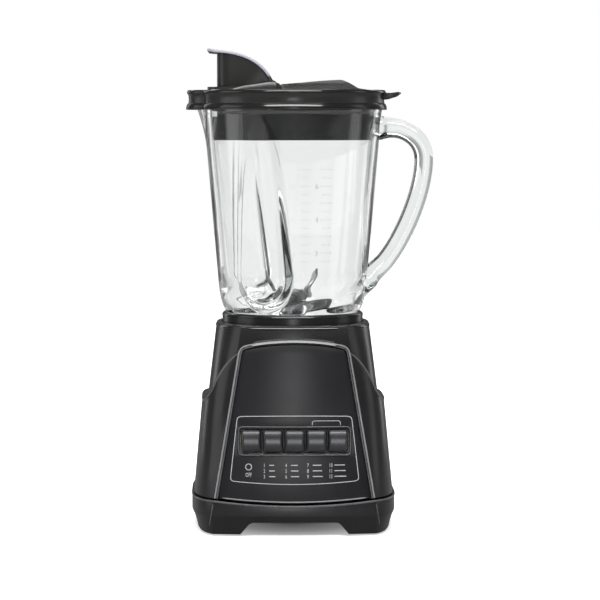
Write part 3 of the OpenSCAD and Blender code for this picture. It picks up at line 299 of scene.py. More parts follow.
# slot, material, dark and light colour, roughness from and to, then the grain's scale and depth
PLASTICS = (
    ("gloss_black", "housing_black", (0.0085, 0.0085, 0.009), (0.0125, 0.0125, 0.013), (0.2, 0.3), 1300,
     1.5e-6),
    ("panel_black", "panel_black", (0.004, 0.004, 0.0055), (0.007, 0.007, 0.0095), (0.26, 0.34), 1500, 5e-6),
    ("lid_black", "lid_black", (0.014, 0.0135, 0.013), (0.021, 0.02, 0.019), (0.2, 0.28), 1100, 5e-6),
    ("button_grey", "button_grey", (0.013, 0.0135, 0.016), (0.021, 0.0215, 0.025), (0.2, 0.26), 1500, 3e-6),
    ("carbon", "brush_carbon", (0.015, 0.015, 0.016), (0.04, 0.04, 0.042), (0.6, 0.8), 1800, 5e-5),
    ("insulator", "insulator", (0.5, 0.46, 0.38), (0.6, 0.56, 0.46), (0.4, 0.6), 900, 3e-5),
    ("fan_plastic", "fan_plastic", (0.03, 0.03, 0.033), (0.05, 0.05, 0.055), (0.4, 0.55), 900, 3e-5),
    ("edge_gloss", "polished_edge", (0.008, 0.008, 0.009), (0.014, 0.014, 0.015), (0.1, 0.16), 1300, 1e-5),
    # painted highlights: pale grey beads that stand for light caught on rounded edges
    ("edge_bright_painted_highlight", "bright_edge_painted_highlight", (0.15, 0.15, 0.155), (0.21, 0.21, 0.22), (0.2, 0.3), 1300, 1e-5),
    # painted highlights, softer: grey beads that stand for dimmer light on edges
    ("edge_soft_painted_highlight", "soft_edge_painted_highlight", (0.055, 0.055, 0.058), (0.085, 0.085, 0.09), (0.22, 0.32), 1300, 1e-5),
    # painted reflection: the pale rim of the cap's plate stands for the bright room mirrored at its edge
    ("cap_edge_painted_reflection", "cap_edge_painted_reflection", (0.36, 0.36, 0.41), (0.45, 0.45, 0.51), (0.25, 0.4), 900, 2e-5),
)
# slot, material, dark and light colour, roughness from and to, then the marks' stretch and depth
METALS = (
    ("steel", "plated_steel", (0.42, 0.42, 0.44), (0.58, 0.58, 0.6), (0.2, 0.36), WORKED, 1e-5),
    ("blade_steel", "blade_steel", (0.4, 0.4, 0.41), (0.56, 0.56, 0.58), (0.12, 0.26), WORKED, 1e-5),
    ("cast_alloy", "cast_alloy", (0.42, 0.42, 0.44), (0.55, 0.55, 0.56), (0.4, 0.6), (30, 30, 30), 4e-5),
    ("bronze", "bearing_bronze", (0.32, 0.19, 0.08), (0.5, 0.31, 0.14), (0.25, 0.4), (40, 40, 40), 1e-5),
    ("brass", "sheet_brass", (0.5, 0.36, 0.13), (0.68, 0.5, 0.2), (0.2, 0.35), WORKED, 1e-5),
    ("commutator_copper", "commutator_copper", (0.45, 0.2, 0.1), (0.7, 0.36, 0.2), (0.15, 0.3),
     (20, 20, 900), 1e-5),
)
RUBBERS = (
    ("rubber", "soft_rubber", (0.012, 0.012, 0.012), (0.024, 0.024, 0.024)),
    ("coupling_rubber", "hard_rubber", (0.01, 0.01, 0.01), (0.02, 0.02, 0.02)),
    ("gasket", "pale_seal", (0.55, 0.54, 0.5), (0.68, 0.67, 0.62)),
)
SHEETS = {"Scale": 320.0, "Distortion": 0.2}
TURNS_OF_WIRE = {"Scale": 420.0, "Distortion": 1.5, "Detail": 1.0}


def new_material(name):
    mat = bpy.data.materials.new(name)
    mat.use_nodes = True
    return mat, mat.node_tree, mat.node_tree.nodes["Principled BSDF"]


def field(tree, settings):
    """Noise from a tuple of settings, or level bands from a dict of them."""
    if isinstance(settings, tuple):
        return noise(tree, *settings)
    wave = node(tree, "ShaderNodeTexWave", bands_direction="Z", Vector=coordinates(tree), **settings)
    return wave.outputs["Fac"]


def surface(name, low, high, mottle, gloss, rough, relief=None, depth=0.0, strength=0.6, metallic=0.0,
            specular=0.5):
    """A material whose colour, roughness and relief each follow a field."""
    mat, tree, shader = new_material(name)
    wire(tree, shader, {
        "Base Color": ramp(tree, field(tree, mottle), low, high),
        "Roughness": span(tree, field(tree, gloss), *rough),
        "Metallic": metallic,
        "Specular IOR Level": specular,
    })
    if relief:
        wire(tree, shader, {"Normal": bump(tree, field(tree, relief), depth, strength)})
    return mat


def deepen_skirt(mat):
    """Paints shade on the lid's skirt, inside the glass: a deeper black than the rest of it."""
    tree = mat.node_tree
    base = tree.nodes["Principled BSDF"].inputs["Base Color"]
    above = maths(tree, "GREATER_THAN", split(tree, coordinates(tree))["Z"], SKIRT_TOP)
    deep = node(tree, "ShaderNodeMix", data_type="RGBA", Factor=above)
    skirt, rim = [socket for socket in deep.inputs if socket.type == "RGBA"]
    # painted shade: the skirt's colour where it stands in the glass
    skirt.default_value = (0.002, 0.002, 0.002, 1)
    tree.links.new(base.links[0].from_socket, rim)
    tree.links.new(next(socket for socket in deep.outputs if socket.type == "RGBA"), base)


def glass_material(name):
    """Pressed soda glass: slightly wavy, greener where it is thick, and clear to the lamps."""
    mat, tree, shader = new_material(name)
    wire(tree, shader, {
        "Transmission Weight": 1.0,
        "IOR": 1.5,
        "Roughness": 0.0,
        "Base Color": ramp(tree, noise(tree, 14, 3), (0.992, 0.996, 0.995), (1, 1, 1)),
        "Normal": bump(tree, noise(tree, 22, 2), 0.0006, 0.35),
    })
    clear = node(tree, "ShaderNodeBsdfTransparent", Color=(0.93, 0.95, 0.945, 1))
    end_in_mix(tree, light_path(tree)["Is Shadow Ray"], shader.outputs["BSDF"], clear.outputs["BSDF"])
    body = node(tree, "ShaderNodeVolumeAbsorption", Color=(0.5, 0.62, 0.58, 1), Density=12.0)
    wire(tree, tree.nodes["Material Output"], {"Volume": body.outputs["Volume"]})
    return mat


def make_materials():
    """One material for each slot of the CAD, and those of the pieces made here."""
    m = {"clear_glass": glass_material("pressed_glass")}
    for slot, name, low, high, rough, grain, depth in PLASTICS:
        specular = 0.75 if slot == "button_grey" else 0.5
        m[slot] = surface(name, low, high, (26, 4), (60, 3), rough, (grain, 2), depth, specular=specular)
    for slot, name, low, high, rough, stretch, depth in METALS:
        marks = (3, 4, stretch)
        m[slot] = surface(name, low, high, (40, 4), marks, rough, marks, depth, 0.5, metallic=1.0)
    for slot, name, low, high in RUBBERS:
        m[slot] = surface(name, low, high, (80, 4), (300, 2), (0.6, 0.8), (1400, 2), 3e-5)
    m["lamination"] = surface("core_sheets", (0.12, 0.12, 0.13), (0.32, 0.32, 0.34), SHEETS, (120, 3),
                              (0.35, 0.6), SHEETS, 0.0001, metallic=0.8)
    m["copper"] = surface("wound_copper", (0.3, 0.1, 0.04), (0.65, 0.28, 0.12), TURNS_OF_WIRE, (90, 2),
                          (0.3, 0.5), TURNS_OF_WIRE, 0.0002, 0.8, metallic=0.7)
    m["print"] = surface("pale_print", (0.34, 0.34, 0.35), (0.46, 0.46, 0.47), (700, 3), (500, 2), (0.4, 0.55))
    deepen_skirt(m["lid_black"])
    return m


# ---------- finishing the CAD nodes

BEVEL_STEPS = 3
WELD_REACH = 2e-6
# rounded edge in metres, then the angles from which an edge stays crisp and is rounded
EDGES = {
    "upper_housing": (0.0006, 26, 30),
    "cowl": (0.0007, 19, 22),
    "control_panel": (0.0004, 30, 40),
    "button_bezel": (0.0006, 30, 40),
    "bottom_pan": (0.0008, 22, 30),
    "rubber_feet": (0.0005, 30, 40),
    "locking_ring": (0.0004, 30, 40),
    "lid": (0.0004, 24, 40),
    "pour_cap": (0.0004, 24, 40),
    "blade_nut": (0.0002, 30, 40),
    "upper_blade": (0.0002, 30, 40),
    "lower_blade": (0.0002, 30, 40),
    "base_clutch": (0.0003, 30, 40),
    "jar_coupling": (0.0003, 30, 40),
}
PLAIN_EDGE = (0.0, 32, 40)


def smooth_group():
    """Geometry nodes that smooth faces but keep edges sharper than an angle, and that angle's identifier."""
    group = bpy.data.node_groups.new("smooth_by_angle", "GeometryNodeTree")
    group.interface.new_socket("Geometry", in_out="INPUT", socket_type="NodeSocketGeometry")
    angle = group.interface.new_socket("Angle", in_out="INPUT", socket_type="NodeSocketFloat")
    group.interface.new_socket("Geometry", in_out="OUTPUT", socket_type="NodeSocketGeometry")
    start = node(group, "NodeGroupInput").outputs
    faces = node(group, "GeometryNodeSetShadeSmooth", Geometry=start["Geometry"])
    compare = node(group, "FunctionNodeCompare", data_type="FLOAT", operation="GREATER_THAN")
    turn = node(group, "GeometryNodeInputMeshEdgeAngle").outputs["Unsigned Angle"]
    wire(group, compare, {0: turn, 1: start["Angle"]})
    edges = node(group, "GeometryNodeSetShadeSmooth", domain="EDGE")
    wire(group, edges, {"Geometry": faces.outputs["Geometry"], "Selection": compare.outputs["Result"],
                        "Shade Smooth": False})
    wire(group, node(group, "NodeGroupOutput"), {"Geometry": edges.outputs["Geometry"]})
    return group, angle.identifier


SMOOTH, SMOOTH_ANGLE = smooth_group()


def dress(obj, material, edge=0.0, angle=30, bevel_angle=40, weld=True):
    """Gives a piece its material, rounded edges and smooth shading, by modifiers only."""
    mesh = obj.data
    if "custom_normal" in mesh.attributes:
        mesh.attributes.remove(mesh.attributes["custom_normal"])
    mesh.materials.clear()
    mesh.materials.append(material)
    if weld:
        obj.modifiers.new("weld", "WELD").merge_threshold = WELD_REACH
    if edge > 0:
        bevel = obj.modifiers.new("edges", "BEVEL")
        bevel.width, bevel.segments = edge, BEVEL_STEPS
        bevel.limit_method, bevel.angle_limit = "ANGLE", radians(bevel_angle)
    smooth = obj.modifiers.new("smooth", "NODES")
    smooth.node_group = SMOOTH
    smooth[SMOOTH_ANGLE] = radians(angle)


def finish_cad(materials):
    slots = {s["node"]: s["material_slot"] for s in frame["record"]["subparts"]}
    for name, obj in NODES.items():
        dress(obj, materials[slots[name]], *EDGES.get(name, PLAIN_EDGE))


# ---------- building meshes

INK_SINK = 0.0001  # how far the foot of a mark goes into its surface


def piece_from(name, bm):
    """A new object from a bmesh, which is used up."""
    mesh = bpy.data.meshes.new(name)
    bm.to_mesh(mesh)
    bm.free()
    return added(name, mesh)


def new_piece(name, bm, material, body, angle=30):
    bmesh.ops.recalc_face_normals(bm, faces=bm.faces)
    obj = piece_from(name, bm)
    dress(obj, material, angle=angle, weld=False)
    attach(obj, body)
    return obj


def evaluated_mesh(obj):
    return bpy.data.meshes.new_from_object(obj.evaluated_get(bpy.context.evaluated_depsgraph_get()))


def bezier(points, t):
    p = [Vector(q) for q in points]
    while len(p) > 1:
        p = [a.lerp(b, t) for a, b in zip(p, p[1:])]
    return p[0]


def bezier_run(points, steps):
    """Points along a curve, both its ends among them."""
    return [bezier(points, i / steps) for i in range(steps + 1)]


def arc(x, y, r, start, step, count):
    """Points round a centre; the angles are in degrees."""
    turns = [radians(start + step * i) for i in range(count)]
    return [(x + r * cos(a), y + r * sin(a)) for a in turns]


def heading(points, i, closed=False):
    """The way a line runs at one of its points."""
    if closed:
        before, after = points[i - 1], points[(i + 1) % len(points)]
    else:
        before, after = points[max(i - 1, 0)], points[min(i + 1, len(points) - 1)]
    return (Vector(after) - Vector(before)).normalized()


def run_lengths(points):
    """How far along an open line each of its points is."""
    runs = [0.0]
    for a, b in zip(points, points[1:]):
        runs.append(runs[-1] + (b - a).length)
    return runs


def skin(bm, rings, closed=False, capped=True):
    """Joins rings of points with four-sided faces; an open run is capped with a face at each end."""
    for low, high in zip(rings, rings[1:] + rings[:1] if closed else rings[1:]):
        for k in range(len(low)):
            j = (k + 1) % len(low)
            bm.faces.new((low[k], low[j], high[j], high[k]))
    if capped and not closed:
        bm.faces.new(rings[0])
        bm.faces.new(list(reversed(rings[-1])))


def dense_line(points, step):
    """Points no further apart than about a step along a line, without its last point."""
    dense = []
    for a, b in zip(points, points[1:]):
        count = max(round((b - a).length / step), 1)
        dense += [a.lerp(b, k / count) for k in range(count)]
    return dense


def evened(points, step):
    """Points spread evenly along a line of (x, z) or (x, y) pairs, its corners eased."""
    points = [Vector(p) for p in points]
    dense = dense_line(points, step) + points[-1:]
    for _ in range(3):
        eased = [(a + b * 2 + c) / 4 for a, b, c in zip(dense, dense[1:], dense[2:])]
        dense = dense[:1] + eased + dense[-1:]
    return dense


def corner_loop(above, below):
    """A closed loop from an upper line, left to right, and a lower one, right to left, with eased corners."""
    points = [Vector(p) for p in above + below]
    dense = dense_line(points + points[:1], 0.0008)
    for _ in range(14):
        dense = [(a + b * 2 + c) / 4 for a, b, c in zip(dense[-1:] + dense[:-1], dense, dense[1:] + dense[:1])]
    return [tuple(p) for p in dense]


def softened(path, times=4):
    """Evens out the facing of the points of a path of (point, facing) pairs."""
    for _ in range(times):
        faces = [n for _, n in path]
        path = [(p, (a + b * 2 + c).normalized()) for (p, _), a, b, c in
                zip(path, faces[:1] + faces[:-1], faces, faces[1:] + faces[-1:])]
    return path


def half_round(r, rise, sink=0.5):
    """The section of a bead: half width, height and depth below its surface."""
    turns = [pi * k / 8 for k in range(9)]
    return [(-r, -sink)] + [(-r * cos(a), rise * sin(a)) for a in turns] + [(r, -sink)]


def moulding(bm, path, section, closed=False, taper=0.0):
    """A solid bar along (point, facing) pairs in millimetres; section is (across, out) pairs, and a taper
    rounds its ends off over that length."""
    spots = [p for p, _ in path]
    runs = run_lengths(spots)
    rings = []
    for i, (p, n) in enumerate(path):
        t = heading(spots, i, closed)
        side = n.cross(t).normalized()
        out = t.cross(side)
        size = 1.0
        if taper:
            left = min(runs[i], runs[-1] - runs[i]) / taper
            size = sqrt(max(1 - (1 - min(left, 1)) ** 2, 0.03))
        rings.append([bm.verts.new((p + side * a * size + out * b * size) * MM) for a, b in section])
    skin(bm, rings, closed)


def ribbon(bm, path, width, proud, place, closed=False):
    """A raised line of square section along (x, z) points, laid on a surface by place(x, z)."""
    rings = []
    for i, p in enumerate(path):
        d = heading(path, i, closed)
        side = Vector((-d[1], d[0])) * (width / 2)
        edges = []
        for sign in (-1, 1):
            hit, normal = place(*(Vector(p) + side * sign))
            edges.append((hit - normal * INK_SINK, hit + normal * proud))
        (a0, a1), (b0, b1) = edges
        rings.append([bm.verts.new(c) for c in (a0, a1, b1, b0)])
    skin(bm, rings, closed)


def add_box(bm, corner, along, up, deep):
    """A closed box from a corner and its three sides."""
    sides = ((0, 0), (1, 0), (1, 1), (0, 1))
    verts = [bm.verts.new((corner + along * i + up * j + deep * k) * MM) for k in (0, 1) for i, j in sides]
    for face in ((0, 1, 2, 3), (7, 6, 5, 4), (0, 4, 5, 1), (1, 5, 6, 2), (2, 6, 7, 3), (3, 7, 4, 0)):
        bm.faces.new([verts[i] for i in face])


def tree_of(name):
    """A CAD node's surface, for rays to meet."""
    mesh = NODES[name].data
    spots = [v.co.copy() for v in mesh.vertices]
    return BVHTree.FromPolygons(spots, [tuple(p.vertices) for p in mesh.polygons])


def front_point(tree, x, z):
    """Where a level line from the front meets a surface, and the surface's outward normal."""
    hit, normal, _, _ = tree.ray_cast(Vector((x, -0.3, z)), Vector((0, 1, 0)))
    if hit is None:
        raise ValueError(f"no surface at {x:.4f}, {z:.4f}")
    return hit, -normal if normal.y > 0 else normal


# ---------- pressed glass jar

JAR_LO, JAR_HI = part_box("glass_jar")
GLASS_Z, TOP_Z = JAR_LO.z / MM, JAR_HI.z / MM
RIM_R, HEEL_R, NECK_R, BORE_R = 74.4, 61.6, 53.5, 45.5
WALL = 4.0
HEEL_Z, SHOULDER_Z = GLASS_Z + 32.0, TOP_Z - 18.0
SHOULDER_OUT, SHOULDER_RISE = 0.7, 5.0  # the wall steps out by this much over this height, under the rim
NECK_TOP = GLASS_Z + 7.7
HEEL_MIDDLE = HEEL_Z - (HEEL_Z - NECK_TOP) * 0.5
FLUTES = (245, 125)  # degrees round the jar
FLUTE_R, FLUTE_DEPTH, FLUTE_RISE, FLUTE_EXTRA = 24.0, 13.0, 120.0, 2.4
FLUTE_FOOT = HEEL_Z + 6.0
FLUTE_SPREAD, FLUTE_LOW = 0.6, GLASS_Z + 8  # no flute reaches past this angle or under this height
FLUTE_SOFT, FLUTE_SOFT_INSIDE, SPOUT_SOFT = 2.6, 7.0, 5.0
FLOW_Z, FLOW_SPREAD, FLOW_DEPTH = GLASS_Z + 22, 24, 0.8
FLOW_WAVES = ((0.6, 3, 4.2), (0.35, 8, -2.6))  # depth, waves round the jar, millimetres of rise
SPOUT_TURN = pi
SPOUT_X, SPOUT_R, SPOUT_SLOPE = 62.0, 22.0, 0.375
AROUND, WALL_STEPS, HEEL_STEPS = 384, 84, 24
HANDLE_X, HANDLE_DROP, HANDLE_ROOT = 109.3, 28.3, 7.0
HANDLE_T, HANDLE_W, HANDLE_AROUND = 7.8, 10.0, 72
HANDLE_SQUARE = 0.66  # under 1, this makes the oval of the bar squarer
HANDLE_END = 112  # the bar turns in to its lower root this far under its upper root
FLARE, FLARE_REACH = 0.3, 5.5  # how much the roots are thicker than the bar, and how fast that fades
GRIP_STEP, GRIP_TAPER = 0.07, 0.5  # how much the bar's inner side is narrower at once, and by its far end


def smooth_min(a, b, k):
    h = min(max(0.5 + 0.5 * (b - a) / k, 0), 1)
    return b * (1 - h) + a * h - k * h * (1 - h)


def turned(theta, centre):
    """An angle measured from a centre, between minus and plus half a turn."""
    return (theta - centre + pi) % (2 * pi) - pi


def wall_r(z):
    """Outer radius of the plain wall at a height, in millimetres."""
    t = (z - HEEL_Z) / (SHOULDER_Z - HEEL_Z)
    return HEEL_R + (RIM_R - SHOULDER_OUT - HEEL_R) * t


def shoulder(t, inset):
    """The step under the rim, from 0 at its foot to 1 at its top."""
    ease = 3 * t * t - 2 * t ** 3
    return RIM_R - SHOULDER_OUT - inset + SHOULDER_OUT * ease, SHOULDER_Z + SHOULDER_RISE * t


FLUTE_LEAN = atan((wall_r(FLUTE_FOOT + FLUTE_RISE) - wall_r(FLUTE_FOOT) + FLUTE_DEPTH) / FLUTE_RISE)


def flute_hit(phi, z, radius):
    """How far out a level ray at this angle and height first meets a leaning hollow flute."""
    centre = Vector((wall_r(FLUTE_FOOT) - FLUTE_DEPTH + FLUTE_R, 0, FLUTE_FOOT))
    axis = Vector((sin(FLUTE_LEAN), 0, cos(FLUTE_LEAN)))
    ray = Vector((cos(phi), sin(phi), 0))
    start = Vector((0, 0, z)) - centre
    best = None
    flat_ray, flat_start = ray - axis * ray.dot(axis), start - axis * start.dot(axis)
    # a round bar above the foot, and a ball below it
    for d, o, is_bar in ((flat_ray, flat_start, True), (ray, start, False)):
        a, b, c = d.dot(d), 2 * d.dot(o), o.dot(o) - radius * radius
        root = b * b - 4 * a * c
        if root < 0:
            continue
        rho = (-b - sqrt(root)) / (2 * a)
        if ((start + ray * rho).dot(axis) >= 0) == is_bar:
            best = rho
    return best


def spout_hit(phi, z, shrink):
    """How far out the spout's cone reaches at this angle and height."""
    radius = SPOUT_R - SPOUT_SLOPE * (TOP_Z - z) - shrink
    side = SPOUT_X * sin(phi)
    if radius <= 0 or abs(side) >= radius or cos(phi) < 0:
        return None
    return SPOUT_X * cos(phi) + sqrt(radius * radius - side * side)


def formed(r, z, theta, inner):
    """A profile radius with the flutes pressed in and the spout drawn out."""
    out = r
    for turn in FLUTES:
        phi = turned(theta, radians(turn))
        if abs(phi) < FLUTE_SPREAD and z > FLUTE_LOW:
            hit = flute_hit(phi, z, FLUTE_R + (WALL + FLUTE_EXTRA if inner else 0))
            if hit is not None:
                out = smooth_min(out, hit, FLUTE_SOFT_INSIDE if inner else FLUTE_SOFT)
    hit = spout_hit(turned(theta, SPOUT_TURN), z, WALL if inner else 0)
    if hit is not None:
        out = -smooth_min(-out, -hit, SPOUT_SOFT)
    if inner:
        # the mould's flow lines in the thick heel
        near = max(0.0, 1 - abs(z - FLOW_Z) / FLOW_SPREAD)
        waves = (depth * sin(count * theta + z / rise) for depth, count, rise in FLOW_WAVES)
        out -= near * sum(waves, FLOW_DEPTH)
    return out


def jar_profile():
    """(radius, height, inner) round the section of the glass, from the foot, up outside and down inside."""
    levels = [HEEL_Z + (SHOULDER_Z - HEEL_Z) * i / WALL_STEPS for i in range(1, WALL_STEPS + 1)]
    under_rim = [TOP_Z - 9, TOP_Z - 6, TOP_Z - 3.5]
    heel = [(NECK_R, NECK_TOP), (NECK_R + 4.4, NECK_TOP + 1.5), (HEEL_R - 1.1, HEEL_MIDDLE), (HEEL_R, HEEL_Z)]
    bowl = [(BORE_R, GLASS_Z + 5), (BORE_R + 8.5, GLASS_Z + 7.5), (HEEL_R - WALL - 0.9, HEEL_MIDDLE),
            (HEEL_R - WALL, HEEL_Z)]
    outside = [(BORE_R + 2, GLASS_Z), (NECK_R - 1.5, GLASS_Z), (NECK_R - 0.4, GLASS_Z + 0.4),
               (NECK_R, GLASS_Z + 1.5), (NECK_R, GLASS_Z + 4.5)]
    outside += bezier_run(heel, HEEL_STEPS)
    outside += [(wall_r(z), z) for z in levels]
    outside += [shoulder(i / 5, 0) for i in range(1, 6)]
    outside += [(RIM_R, z) for z in under_rim]
    half = WALL / 2
    rim = [(RIM_R - half + half * cos(a), TOP_Z - half + half * sin(a), a > pi / 2)
           for a in [pi * i / 8 for i in range(9)]]
    inside = [(RIM_R - WALL, z) for z in reversed(under_rim)]
    inside += [shoulder(i / 5, WALL) for i in range(5, 0, -1)]
    inside += [(wall_r(z) - WALL, z) for z in reversed(levels)]
    inside += bezier_run(bowl, HEEL_STEPS)[::-1]
    inside += [(BORE_R, GLASS_Z + 2), (BORE_R, GLASS_Z + 1), (BORE_R + 0.5, GLASS_Z + 0.3)]
    return [(r, z, False) for r, z in outside] + rim + [(r, z, True) for r, z in inside]


def build_glass_wall():
    bm = bmesh.new()
    rings = []
    for r, z, inner in jar_profile():
        ring = []
        for i in range(AROUND):
            theta = 2 * pi * i / AROUND
            rho = formed(r, z, theta, inner) if r > 50 else r
            ring.append(bm.verts.new((rho * cos(theta) * MM, rho * sin(theta) * MM, z * MM)))
        rings.append(ring)
    skin(bm, rings, closed=True)
    bmesh.ops.recalc_face_normals(bm, faces=bm.faces)
    return bm


def handle_path():
    """The handle's middle line in the XZ plane, in millimetres, from its upper root to its lower one."""
    top, reach = TOP_Z - HANDLE_DROP, HANDLE_X
    start = wall_r(top)
    knee = (76, top - HANDLE_END)
    upper_bend = [(start + HANDLE_ROOT, top), (reach - 12, top), (reach, top - 11), (reach, top - 26)]
    grip = [(reach, top - 26), (reach, top - 52), (reach - 16.5, top - 92), knee]
    points = [Vector((start + HANDLE_ROOT * i / 6, top)) for i in range(6)]
    points += bezier_run(upper_bend, 16)[:-1] + bezier_run(grip, 32)
    end = Vector(knee)
    direction = (Vector((64, top - HANDLE_END - 11.4)) - end).normalized()
    length = 0.0
    while points[-1][0] > wall_r(points[-1][1]):
        length += 1.5
        points.append(end + direction * length)
    return points


def squared(turn):
    """A cosine or sine that makes an oval squarer."""
    return copysign(abs(turn) ** HANDLE_SQUARE, turn)


def wall_depth(p):
    """How far out a point is from about the middle of the glass wall."""
    return hypot(p.x, p.y) - (wall_r(p.z) - WALL * 0.55)


def build_handle():
    """A solid bar of oval section whose ends melt into the middle of the glass wall."""
    path = handle_path()
    runs = run_lengths(path)
    last = len(path) - 1
    bm = bmesh.new()
    rings = []
    for n, c in enumerate(path):
        d = heading(path, n)
        root = min(runs[n], runs[-1] - runs[n])
        flare = 1 + FLARE * exp(-max(root - 1.0, 0) / FLARE_REACH)
        t, w = HANDLE_T * flare, HANDLE_W * flare
        # the way along the bar to its nearer root
        step = Vector((d[0], 0, d[1])) * (1 if runs[n] > runs[-1] / 2 else -1)
        ring = []
        for k in range(HANDLE_AROUND):
            a = 2 * pi * k / HANDLE_AROUND
            u, v = squared(cos(a)) * t, squared(sin(a)) * w
            # the inner side of the bar narrows towards the hand
            inward = -u / t
            step_in = GRIP_STEP * min(max(0.0, inward - 0.02) / 0.08, 1)
            v *= 1 - step_in - GRIP_TAPER * max(0.0, inward - 0.1) / 0.9
            p = Vector((c[0] - d[1] * u, v, c[1] + d[0] * u))
            # the ends, and what would stand inside the wall, go to the middle of the wall
            if n in (0, last) or wall_depth(p) < 0:
                for _ in range(40):
                    p += step * (wall_depth(p) / max(abs(step.x), 0.35))
            ring.append(bm.verts.new(p * MM))
        rings.append(ring)
    skin(bm, rings, capped=False)
    for ring in (rings[0], rings[-1]):
        centre = bm.verts.new(sum((v.co for v in ring), Vector()) / HANDLE_AROUND)
        for i in range(HANDLE_AROUND):
            bm.faces.new((ring[i], ring[(i + 1) % HANDLE_AROUND], centre))
    bmesh.ops.recalc_face_normals(bm, faces=bm.faces)
    return bm


def make_glass(material):
    """The jar and its handle, joined into one body of glass."""
    bar = piece_from("handle_bar", build_handle())
    jar = piece_from("pressed_jar", build_glass_wall())
    union = jar.modifiers.new("join", "BOOLEAN")
    union.operation, union.object, union.solver = "UNION", bar, "MANIFOLD"
    joined = evaluated_mesh(jar)
    jar.modifiers.clear()
    jar.data = joined
    bpy.data.objects.remove(bar)
    dress(jar, material, angle=62, weld=False)
    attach(jar, "jar")
    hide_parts("glass_jar", "jar_handle")


# ---------- marks

PRINT_PROUD, GLASS_PROUD = 0.00012, 0.0007
LETTER_SHARE = 0.72  # a capital's height in the built-in face, as a share of the type size
FRAME_OVER, FRAME_UNDER = 0.0105, 0.0225  # from the keys to the frame line
FRAME_TOP_HALF, FRAME_FOOT_HALF, FRAME_TOP_BOW, FRAME_FOOT_BOW = 0.0463, 0.0521, 0.0006, 0.0026
FRAME_LINE, BRACKET_LINE, RING_LINE, BAR_LINE = 0.00055, 0.00045, 0.0006, 0.0007  # widths
ROW_TOP, ROW_STEP = 0.0098, 0.0045  # the rows of numbers under the keys
DIGIT_H, DIGIT_W, WORD_H, RING_R = 0.0031, 0.0018, 0.0034, 0.0024
MARK_FOOT_Z, MARK_STEP, MARK_LINE, MARK_H = 0.2215, 0.0068, 0.0009, 0.0044  # the measure marks on the jar
KEY_BOXES = [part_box(f"button_{k}") for k in range(1, 6)]
KEY_X = [(lo.x + hi.x) / 2 for lo, hi in KEY_BOXES]


def lettering(text, height):
    """Letters as a mesh, x to the right and y up, centred, from the built-in plain face."""
    curve = bpy.data.curves.new("words", "FONT")
    curve.body, curve.size, curve.extrude = text, height / LETTER_SHARE, 1.0
    curve.align_x, curve.resolution_u = "CENTER", 4
    obj = added("words", curve)
    bpy.context.view_layer.update()
    mesh = evaluated_mesh(obj)
    bpy.data.objects.remove(obj)
    return mesh


def add_words(bm, text, height, x, z, place, proud=PRINT_PROUD, squeeze=0.8):
    """Raised letters laid on a surface by place(x, z)."""
    mesh = lettering(text, height)
    part = bmesh.new()
    part.from_mesh(mesh)
    bmesh.ops.remove_doubles(part, verts=part.verts, dist=1e-6)
    for v in part.verts:
        hit, normal = place(x + v.co.x * squeeze, z + v.co.y - height / 2)
        v.co = hit + normal * (proud if v.co.z > 0 else -INK_SINK)
    part.to_mesh(mesh)
    part.free()
    bm.from_mesh(mesh)
    bpy.data.meshes.remove(mesh)


def make_panel_print(material):
    """The frame line, the bracket over the last two keys, and the marks under the keys."""
    tree = tree_of("control_panel")

    def place(x, z):
        return front_point(tree, x, z)

    low, top = (corner.z for corner in KEY_BOXES[0])
    bm = bmesh.new()
    # the frame line's level runs bow like the edges of the panel
    upper, lower = top + FRAME_OVER, low - FRAME_UNDER
    across = [i / 6 - 1 for i in range(13)]
    above = [(FRAME_TOP_HALF * s, upper + FRAME_TOP_BOW * (1 - s ** 2)) for s in across]
    below = [(-FRAME_FOOT_HALF * s, lower - FRAME_FOOT_BOW * (1 - s ** 2)) for s in across]
    ribbon(bm, corner_loop(above, below), FRAME_LINE, PRINT_PROUD, place, closed=True)
    # bracket over the last two keys
    line_z, leg, turn = upper - 0.0034, 0.0034, 0.0018
    left, right = KEY_X[3] - 0.0033, KEY_X[4] + 0.0019
    bend = [(turn * (1 - cos(a)), line_z - turn * (1 - sin(a)))
            for a in [pi / 2 * k / 6 for k in range(7)]]
    arm = [(left, line_z - leg)] + [(left + x, z) for x, z in bend]
    arm += [(left + turn + (right - left - 2 * turn) * k / 14, line_z) for k in range(1, 14)]
    arm += [(right - x, z) for x, z in reversed(bend)] + [(right, line_z - leg)]
    ribbon(bm, arm, BRACKET_LINE, PRINT_PROUD, place)
    # ring and word under the first key
    ring_x, ring_z = KEY_X[0] - 0.002, low - 0.0112
    ribbon(bm, arc(ring_x, ring_z, RING_R, 0, 9, 40), RING_LINE, PRINT_PROUD, place, closed=True)
    add_words(bm, "OFF", WORD_H, ring_x, ring_z - 0.0062, place, squeeze=0.62)
    # numbers and level bars under the other keys
    for k in range(1, 5):
        for row in range(3):
            number = 3 * (k - 1) + row + 1
            x0, z = KEY_X[k] - 0.0078, low - ROW_TOP - ROW_STEP * row
            wide = DIGIT_W * len(str(number))
            add_words(bm, str(number), DIGIT_H, x0 + wide / 2, z, place, squeeze=0.7)
            start, length = x0 + 0.0048, 0.0035 + 0.0005 * number
            ribbon(bm, [(start + length * i / 6, z) for i in range(7)], BAR_LINE, PRINT_PROUD, place)
    new_piece("panel_print", bm, material, "base")


